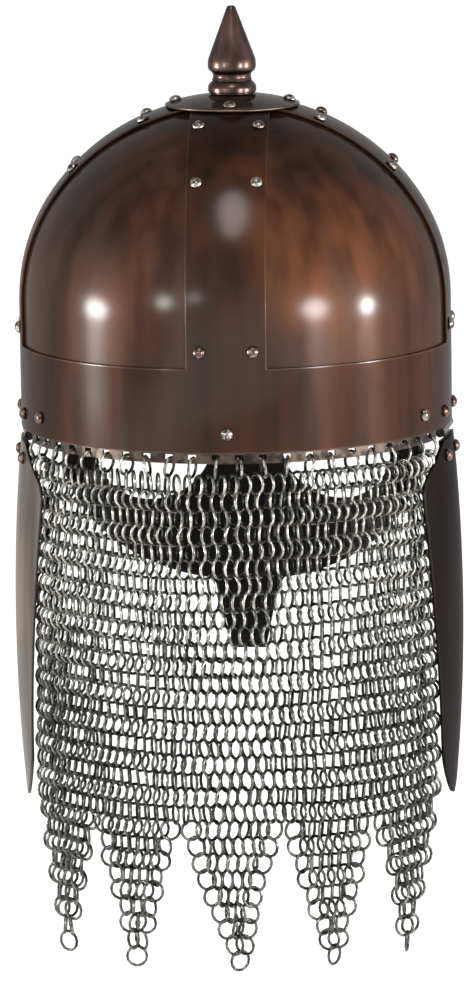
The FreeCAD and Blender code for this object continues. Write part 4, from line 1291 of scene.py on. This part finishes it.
    def hangers(self) -> None:
        """The rings that pass through the strip's slots."""
        headings = [90 + (n - (self.slots - 1) / 2) * self.slot_pitch for n in range(self.slots)]
        spots = around(self.hanger_radius, map(math.radians, headings), self.hanger_height)
        rings = [(spot, heading + 90) for spot, heading in zip(spots, headings)]
        self.rings("mail_strip_rings", rings, ROOT, "mail_hanger_rings", self.hanger_looseness)

    def tongue(self, number: int) -> None:
        """One tongue, which flattens below the rows that carry it and swings by itself.

        Args:
            number: Its number from 1, counted from -X.
        """
        middle = (number - 1 - (self.tongues - 1) / 2) * self.tongue_rings * self.ring_pitch
        half = (self.tongue_rings - 1) * self.ring_pitch / 2
        left, crest, right = (self.plan_point(middle + shift)[0] for shift in (half, 0.0, -half))
        chord = (left - right) / np.linalg.norm(left - right)
        flat = ((left + right) / 2 + crest) / 2
        facing = math.degrees(math.atan2(chord[1], chord[0])) + 90
        rings = []
        for step in range(1, self.tongue_rings):
            count = self.tongue_rings - step
            row = self.rows + step
            flatness = min(1.0, (step - 1) / self.flattening_rows)
            for ring in range(count):
                slid, height = self.drape(middle + (ring - (count - 1) / 2) * self.ring_pitch, row)
                curved, heading = self.plan_point(slid)
                straight = flat + chord * (slid - middle)
                point = curved * (1 - flatness) + straight * flatness
                lean = self.leans[row % 2] * (self.free_share if ring in (0, count - 1) else 1.0)
                turn = heading * (1 - flatness) + facing * flatness + lean
                rings.append(((*point, height), turn))
        node = f"mail_tongue_{number}"
        self.rings(f"{node}_rings", rings, f"tongue_{number}", node, self.looseness)

    def build(self) -> None:
        """Make all the mail and finish the strip that holds it."""
        self.curtain()
        self.hangers()
        for number in range(1, self.tongues + 1):
            self.tongue(number)
        coat("mail_hanger_strip", STRIP_STEEL)
        for name, turns, finish in (
            ("hanger_rivets", (0.0, self.rivet_turn), RIVET_STEEL),
            ("hanger_rivet_left", (-self.rivet_turn,), BROWN_RIVET_STEEL),
        ):
            seat = (0, self.rivet_radius, self.rivet_height, self.rivet_grip)
            places = [ring_place(90 + turn, *seat) for turn in turns]
            RivetSet().make("hanger_rivets", ROOT, places, finish, name)


# Cheek plates and hinges


@dataclass(frozen=True)
class CheekPlate:
    """A hinged plate beside the face, hollowed two ways, with its hinge."""

    side: Side
    heading_from_back: float = 84.0
    thickness: float = 1.6 * MM
    edge: float = 0.4 * MM
    top: float = -6.5 * MM
    length: float = 175.5 * MM
    plan_radius: float = 135 * MM
    seat_radius: float = 104.3 * MM
    bow_radius: float = 920 * MM
    brow_radius: float = 104 * MM
    rivet_spread: float = 15 * MM
    upper_rivet: float = 7.7 * MM
    lower_rivet: float = -13.8 * MM
    rivet_grip: float = 2.9 * MM

    @property
    def heading(self) -> float:
        """Degrees from +X to the plate's middle."""
        return 90 - self.side.value * self.heading_from_back

    def widths(self) -> np.ndarray:
        """Half the plate's width and the height, down one edge."""
        bottom = self.top - self.length
        corner = (19 * MM, self.top)
        upper = (42 * MM, self.top - 13 * MM)
        shoulder = (48.5 * MM, self.top - 24.5 * MM)
        waist = (29 * MM, bottom + 24 * MM)
        bend = arc_points(upper, shoulder, 12 * MM, 1, 8)
        flank = arc_points(shoulder, waist, 700 * MM, 1, 20)
        point = arc_points(waist, (0.0, bottom), 46 * MM, 1, 16)
        return np.vstack((corner, bend, flank[1:], point[1:]))

    def spot(self, lateral: float, height: float) -> tuple[float, float, float]:
        """A point of the plate's outer face, before it is turned to its heading."""
        half = self.length / 2
        swell = math.sqrt(self.bow_radius**2 - (height - self.top + half) ** 2)
        swell -= math.sqrt(self.bow_radius**2 - half**2)
        reach = self.plan_radius + swell
        return self.seat_radius - self.plan_radius + math.sqrt(reach**2 - lateral**2), lateral, height

    def plate(self) -> None:
        """The plate itself, with closer rows where its outline turns quickly."""
        edge = self.widths()[::-1]
        heights = list(np.linspace(edge[0, 1] + 0.4 * MM, edge[0, 1] + 24 * MM, 14))
        for stop, count in ((self.top - 26 * MM, 26), (self.top - 1 * MM, 12)):
            heights += list(np.linspace(heights[-1], stop, count))[1:]
        heights.append(self.top)
        rows = []
        for height, half in zip(heights, np.interp(heights, edge[:, 1], edge[:, 0])):
            laterals = with_borders(-half, half, 17, min(0.2 * half, 1 * MM))
            rows.append([self.spot(lateral, height) for lateral in laterals])
        label = self.side.label
        node = f"cheek_plate_{label}"
        mesh = surface(node, [np.array(rows)], [False])
        mesh.transform(Matrix.Rotation(math.radians(self.heading), 4, "Z"))
        # Each side takes its own painted lit or shaded copy of the plate steel.
        sheet = Sheet(LIT_AND_SHADED_PLATE_STEELS[self.side], self.thickness, self.edge)
        sheet.piece(f"{node}_sheet", mesh, [node], f"cheek_{label}")

    def rivets(self) -> None:
        """The rivets through both leaves of the hinge."""
        label = self.side.label
        upper, lower = [], []
        turn = Matrix.Rotation(math.radians(self.heading), 3, "Z")
        for lateral in (-self.rivet_spread, self.rivet_spread):
            seat = (self.brow_radius, self.upper_rivet, self.rivet_grip)
            upper.append(ring_place(self.heading, lateral, *seat))
            here = Vector(self.spot(lateral, self.lower_rivet))
            up = Vector(self.spot(lateral, self.lower_rivet + MM)) - here
            across = Vector(self.spot(lateral + MM, self.lower_rivet)) - here
            outward = across.cross(up).normalized()
            lower.append(RivetPlace(turn @ here, turn @ outward, self.rivet_grip))
        RivetSet().make(f"hinge_upper_rivets_{label}", ROOT, upper, BROWN_RIVET_STEEL)
        RivetSet().make(f"hinge_lower_rivets_{label}", f"cheek_{label}", lower, BROWN_RIVET_STEEL)

    def build(self) -> None:
        """Make the plate and its rivets and finish the hinge."""
        self.plate()
        self.rivets()
        for part in ("hinge_upper_leaf", "hinge_lower_leaf", "hinge_pin"):
            coat(f"{part}_{self.side.label}", HINGE_STEEL)


# The spectacle guard


@dataclass(frozen=True)
class SpectacleGuard:
    """The guard round the eyes and nose, bent to the brow band's front."""

    sheet: Sheet = Sheet(GUARD_STEEL, 1.8 * MM, 0.5 * MM)
    radius: float = 105.9 * MM
    half_width: float = 89 * MM
    bridge_half: float = 6 * MM
    bridge_rise: float = 15 * MM
    end_rise: float = 4 * MM
    end_drop: float = -32 * MM
    tip_half: float = 8.5 * MM
    tip_drop: float = -132 * MM
    nose_half: float = 15 * MM
    nose_drop: float = -101 * MM
    root_half: float = 18.5 * MM
    root_drop: float = -96 * MM
    eye_inner: float = 17.5 * MM
    eye_outer: float = 73.5 * MM
    eye_height: float = -31 * MM
    eye_round: float = 28.4 * MM
    rivet_offsets: tuple[float, float] = (27.4 * MM, 78 * MM)
    rivet_height: float = 7 * MM
    rivet_grip: float = 8.2 * MM
    column: float = 2.4 * MM

    def edges(self) -> list[np.ndarray]:
        """Points of the lower edge, both edges of the eye and the upper edge, outwards."""
        inner, outer = (self.eye_inner, self.eye_height), (self.eye_outer, self.eye_height)
        rim, lid = (arc_points(inner, outer, self.eye_round, way, 32) for way in (-1, 1))
        bridge, end = (self.bridge_half, self.bridge_rise), (self.half_width, self.end_rise)
        upper = np.vstack(((0.0, self.bridge_rise), arc_points(bridge, end, 80 * MM, 1, 40)))
        nasal = [(0.0, self.tip_drop), (self.tip_half, self.tip_drop), (self.nose_half, self.nose_drop)]
        root, corner = (self.root_half, self.root_drop), (self.half_width, self.end_drop)
        lower = np.vstack((nasal, arc_points(root, corner, 85 * MM, -1, 40)))
        return [lower, rim, lid, upper]

    def columns(self) -> np.ndarray:
        """Distances of the mesh's columns from the middle, closer together beside each corner."""
        corners = {
            self.tip_half: (-6.0, -3.5, -0.9, 0.0, 0.9, 2.5, 4.1),
            self.nose_half: (-0.9, 0.0),
            self.eye_inner: (0.0, 0.8, 1.9, 3.0),
            self.eye_outer: (-2.1, -1.1, -0.4, 0.0),
            self.half_width: (-0.9, 0.0),
        }
        beside = [corner + shift * MM for corner, shifts in corners.items() for shift in shifts]
        between = np.arange(22 * MM, 72 * MM, self.column)
        beyond = np.arange(75.5 * MM, 87 * MM, self.column)
        right = sorted([*beside, *between, *beyond])
        return np.array([-x for x in reversed(right)] + [0.0] + right)

    def build(self) -> None:
        """Make the guard and the rivets that hold it."""
        edges = self.edges()
        shares = with_borders(0.0, 1.0, 9, 0.03)
        below, above = [], []
        for x in self.columns():
            lower, rim, lid, upper = (float(np.interp(abs(x), edge[:, 0], edge[:, 1])) for edge in edges)
            y = -math.sqrt(self.radius**2 - x**2)
            below.append([(x, y, z) for z in lower + (rim - lower) * shares])
            above.append([(x, y, z) for z in lid + (upper - lid) * shares])
        grids = [np.array(belt).transpose(1, 0, 2) for belt in (below, above)]
        mesh = surface("spectacle_guard", grids, [False, False])
        self.sheet.piece("spectacle_guard_sheet", mesh, ["spectacle_guard"])
        places = [
            ring_place(-90, side.value * offset, self.radius, self.rivet_height, self.rivet_grip)
            for offset in self.rivet_offsets
            for side in Side
        ]
        RivetSet().make("guard_rivets", ROOT, places, RIVET_STEEL)


# The liner


@dataclass(frozen=True)
class Liner:
    """A leather band with eight petals that a lace draws together over the head."""

    band_radius: float = 99.7 * MM
    band_bottom: float = 3 * MM
    band_height: float = 33 * MM
    leather: float = 2 * MM
    band_edge: float = 0.6 * MM
    petal_edge: float = 0.5 * MM
    section: DomeSection = field(
        default_factory=lambda: DomeSection(97.4 * MM, 45 * MM, 27.4 * MM, 10 * MM)
    )
    petal_bottom: float = 12 * MM
    petals: int = 8
    petal_columns: int = 13
    petal_bow: float = 0.7 * MM
    tip_start_share: float = 0.7
    tip_narrowing_share: float = 0.12
    slit_bottom: float = 52 * MM
    slit_half: float = 1.5 * MM
    hole_radius: float = 24 * MM
    lace_radius: float = 1.25 * MM
    lace_loop: float = 27 * MM
    lace_rise: float = 0.5 * MM
    stitch: float = 3.4 * MM
    stitch_pitch: float = 5 * MM
    stitch_rows: tuple[float, float] = (3.5 * MM, 20 * MM)
    stitch_slants: tuple[float, float] = (0.04, 0.2)
    thread_radius: float = 0.5 * MM
    thread_sink: float = 0.1 * MM
    seed: int = 5

    def band(self) -> None:
        """The leather band riveted inside the brow."""
        heights = with_borders(self.band_bottom, self.band_bottom + self.band_height, 7, MM)
        rows = [around(self.band_radius, full_turn(120), height) for height in heights]
        mesh = surface("liner_band", [np.array(rows)], [True])
        sheet = Sheet(LINER_LEATHER, self.leather, self.band_edge)
        sheet.piece("liner_band_leather", mesh, ["liner_band"])

    def petal_grids(self) -> list[np.ndarray]:
        """The skirt below the slits and the eight petals above it."""
        profile = self.section.profile(self.petal_bottom, self.hole_radius, 4 * MM)
        low = [row for row in profile if row[1] <= self.slit_bottom]
        seam = self.section.normal_spot(self.slit_bottom)[:2]
        high = [row for row in profile if row[1] > self.slit_bottom + MM]
        half_pitch = math.pi / self.petals
        bows = self.petal_bow * np.linspace(-1, 1, self.petal_columns) ** 2
        grids = []
        for middle in full_turn(self.petals):
            turns = middle + np.linspace(-half_pitch, half_pitch, self.petal_columns)
            wall = [around(radius, turns, height) for radius, height in [*low, seam]]
            leaf = [wall[-1]]
            for step, (radius, height) in enumerate(high):
                grown = min(1.0, (step + 1) / 2)
                half = half_pitch - grown * math.asin(self.slit_half / radius)
                end = step / (len(high) - 1)
                past = max(0.0, end - self.tip_start_share) / (1 - self.tip_start_share)
                half *= 1 - self.tip_narrowing_share * past
                turns = middle + np.linspace(-half, half, self.petal_columns)
                reaches = radius - bows * math.sin(math.pi * end)
                leaf.append([around(reach, [turn], height)[0] for reach, turn in zip(reaches, turns)])
            grids += [np.array(wall), np.array(leaf)]
        return grids

    def crown(self) -> None:
        """The skirt and its petals."""
        grids = self.petal_grids()
        mesh = surface("liner_crown", grids, [False] * len(grids))
        sheet = Sheet(LINER_LEATHER, self.leather, self.petal_edge)
        sheet.piece("liner_crown_leather", mesh, ["liner_crown"])

    def lace(self) -> None:
        """The lace, which dips below each petal's tip and rises in the slits between."""
        low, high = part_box("liner_lace")
        curve = bpy.data.curves.new("liner_lace_path", "CURVE")
        curve.dimensions = "3D"
        curve.bevel_depth = self.lace_radius
        curve.bevel_resolution = 3
        turns = full_turn(self.petals * 6)
        spline = curve.splines.new("NURBS")
        spline.points.add(len(turns) - 1)
        for point, turn in zip(spline.points, turns):
            rise = self.lace_rise * (1 - math.cos(self.petals * turn)) / 2
            point.co = (*around(self.lace_loop, [turn], (low.z + high.z) / 2 + rise)[0], 1.0)
        spline.use_cyclic_u = True
        holder = new_object("liner_lace_path", curve)
        mesh = plain_mesh(holder)
        bpy.data.objects.remove(holder)
        item = link(mesh, "liner_lace_cord", LACE_LEATHER)
        settle(item)
        dressed(item, ROOT, LACE_LEATHER, "liner_lace")

    def stitch_tree(self) -> bpy.types.NodeTree:
        """The tree that lays a stitch of thread on each point."""
        sizes = {"Length": self.stitch, "Thread Radius": self.thread_radius, "Seed": self.seed}
        wires, given = start_tree("stitches", sizes)
        bead = wires.first("GeometryNodeMeshUVSphere", {"Segments": 8, "Rings": 6, "Radius": 1.0})
        thin, half = given["Thread Radius"], wires.maths("MULTIPLY", given["Length"], 0.5)
        shape = wires.combined(thin, half, thin)
        thread = wires.first("GeometryNodeTransform", {"Geometry": bead, "Scale": shape})
        slant = wires.drawn(*self.stitch_slants, given["Seed"])
        euler = wires.combined(slant, 0.0, wires.marked("turn"))
        wires.close(wires.on_points(given["Geometry"], thread, euler), given["Material"])
        return wires.tree

    def stitches(self) -> None:
        """Two rows of stitches that hold the skirt to the band."""
        reach = self.section.radius - self.leather - self.thread_sink
        angles = list(full_turn(round(math.tau * reach / self.stitch_pitch)))
        heights = [self.petal_bottom + rise for rise in self.stitch_rows]
        spots = [spot for height in heights for spot in around(reach, angles, height)]
        marks = {"turn": angles * len(self.stitch_rows)}
        values = {"Material": STITCH_THREAD.material()}
        item = repeat("liner_stitches", self.stitch_tree(), spots, marks, values)
        dressed(item, ROOT, STITCH_THREAD, "liner_crown")

    def build(self) -> None:
        """Make the liner."""
        self.band()
        self.crown()
        self.lace()
        self.stitches()


# The studio


@dataclass(frozen=True)
class Softbox:
    """A soft light, placed by its direction from the helmet as the camera sees it."""

    name: str
    right: float
    above: float
    distance: float
    width: float
    height: float
    power: float


@dataclass(frozen=True)
class Studio:
    """Floor, lights and the camera behind the helmet."""

    azimuth: float = 182.6
    distance: float = 3.31
    eye_height: float = 0.523
    aim: tuple[float, float, float] = (0.0011, 0.0, -0.036)
    lens: float = 253.2
    roll: float = -0.8
    floor: float = -0.45
    floor_reach: float = 30.0
    ceiling_share: float = 0.4
    lights: tuple[Softbox, ...] = (
        Softbox("left_box", -78, 0.0, 1.4, 0.34, 0.20, 17.5),
        Softbox("low_left_box", -37, 8, 1.4, 0.20, 0.14, 4.2),
        Softbox("middle_box", -20.5, 11, 1.4, 0.13, 0.11, 1.0),
        Softbox("right_box", 41.5, 3.0, 1.4, 0.32, 0.24, 13.5),
        Softbox("far_right_box", 73, 1.5, 1.4, 0.20, 0.14, 15.0),
        Softbox("overhead_box", -1, 60, 1.6, 0.34, 0.80, 10.5),
    )

    def camera(self) -> None:
        """The camera at the photograph's viewing angle."""
        data = bpy.data.cameras.new("camera")
        data.lens = self.lens
        data.sensor_width = 36.0
        data.clip_end = 2 * self.floor_reach
        item = new_object("camera", data)
        turn = math.radians(self.azimuth)
        item.location = (math.sin(turn) * self.distance, -math.cos(turn) * self.distance, self.eye_height)
        look = (Vector(self.aim) - item.location).to_track_quat("-Z", "Y")
        rolled = look.to_matrix() @ Matrix.Rotation(math.radians(self.roll), 3, "Z")
        item.rotation_euler = rolled.to_euler()
        bpy.context.scene.camera = item

    def lamp(self, box: Softbox) -> None:
        """One softbox."""
        data = bpy.data.lights.new(box.name, "AREA")
        data.shape = "ELLIPSE"
        data.size = box.width
        data.size_y = box.height
        data.energy = box.power
        turn, rise = math.radians(self.azimuth + box.right), math.radians(box.above)
        level = math.cos(rise)
        away = Vector((math.sin(turn) * level, -math.cos(turn) * level, math.sin(rise)))
        item = new_object(box.name, data)
        item.location = away * box.distance
        item.rotation_euler = away.to_track_quat("Z", "Y").to_euler()

    def paper(self) -> None:
        """The white paper that the helmet hangs over."""
        reach = self.floor_reach
        mesh = bpy.data.meshes.new("studio_floor")
        corners = [(-reach, -reach), (reach, -reach), (reach, reach), (-reach, reach)]
        mesh.from_pydata([(*corner, self.floor) for corner in corners], [], [(0, 1, 2, 3)])
        link(mesh, "studio_floor", STUDIO_PAPER)

    def room(self) -> None:
        """The even light of a room with white walls and a dim ceiling."""
        world = bpy.data.worlds.new("room")
        world.use_nodes = True
        wires = Wiring(world.node_tree)
        rise = wires.axes(wires.add("ShaderNodeTexCoord").outputs["Generated"])[2]
        dimmed = wires.ramp(rise, 0.3, 0.95, 1.0, self.ceiling_share, soft=True)
        wires.join(world.node_tree.nodes["Background"], {"Color": linear("#ffffff"), "Strength": dimmed})
        bpy.context.scene.world = world
        bpy.context.scene.view_settings.view_transform = "Standard"

    def build(self) -> None:
        """Make the studio."""
        self.paper()
        self.room()
        for box in self.lights:
            self.lamp(box)
        self.camera()


def main() -> None:
    """Build the helmet's pieces in order."""
    logging.basicConfig(level=logging.INFO, format="%(name)s: %(message)s")
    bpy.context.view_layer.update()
    section = DomeSection(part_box("brow_band")[1].x)
    disc_top = section.top + Skull.lap + Skull.disc_sheet.thickness
    parts: list[Callable[[], None]] = [
        Studio().build,
        Skull(section).build,
        Spike(disc_top + 0.05 * MM).build,
        Mail().build,
        *(CheekPlate(side).build for side in Side),
        SpectacleGuard().build,
        Liner().build,
    ]
    for build in parts:
        build()


if __name__ == "__main__":
    main()
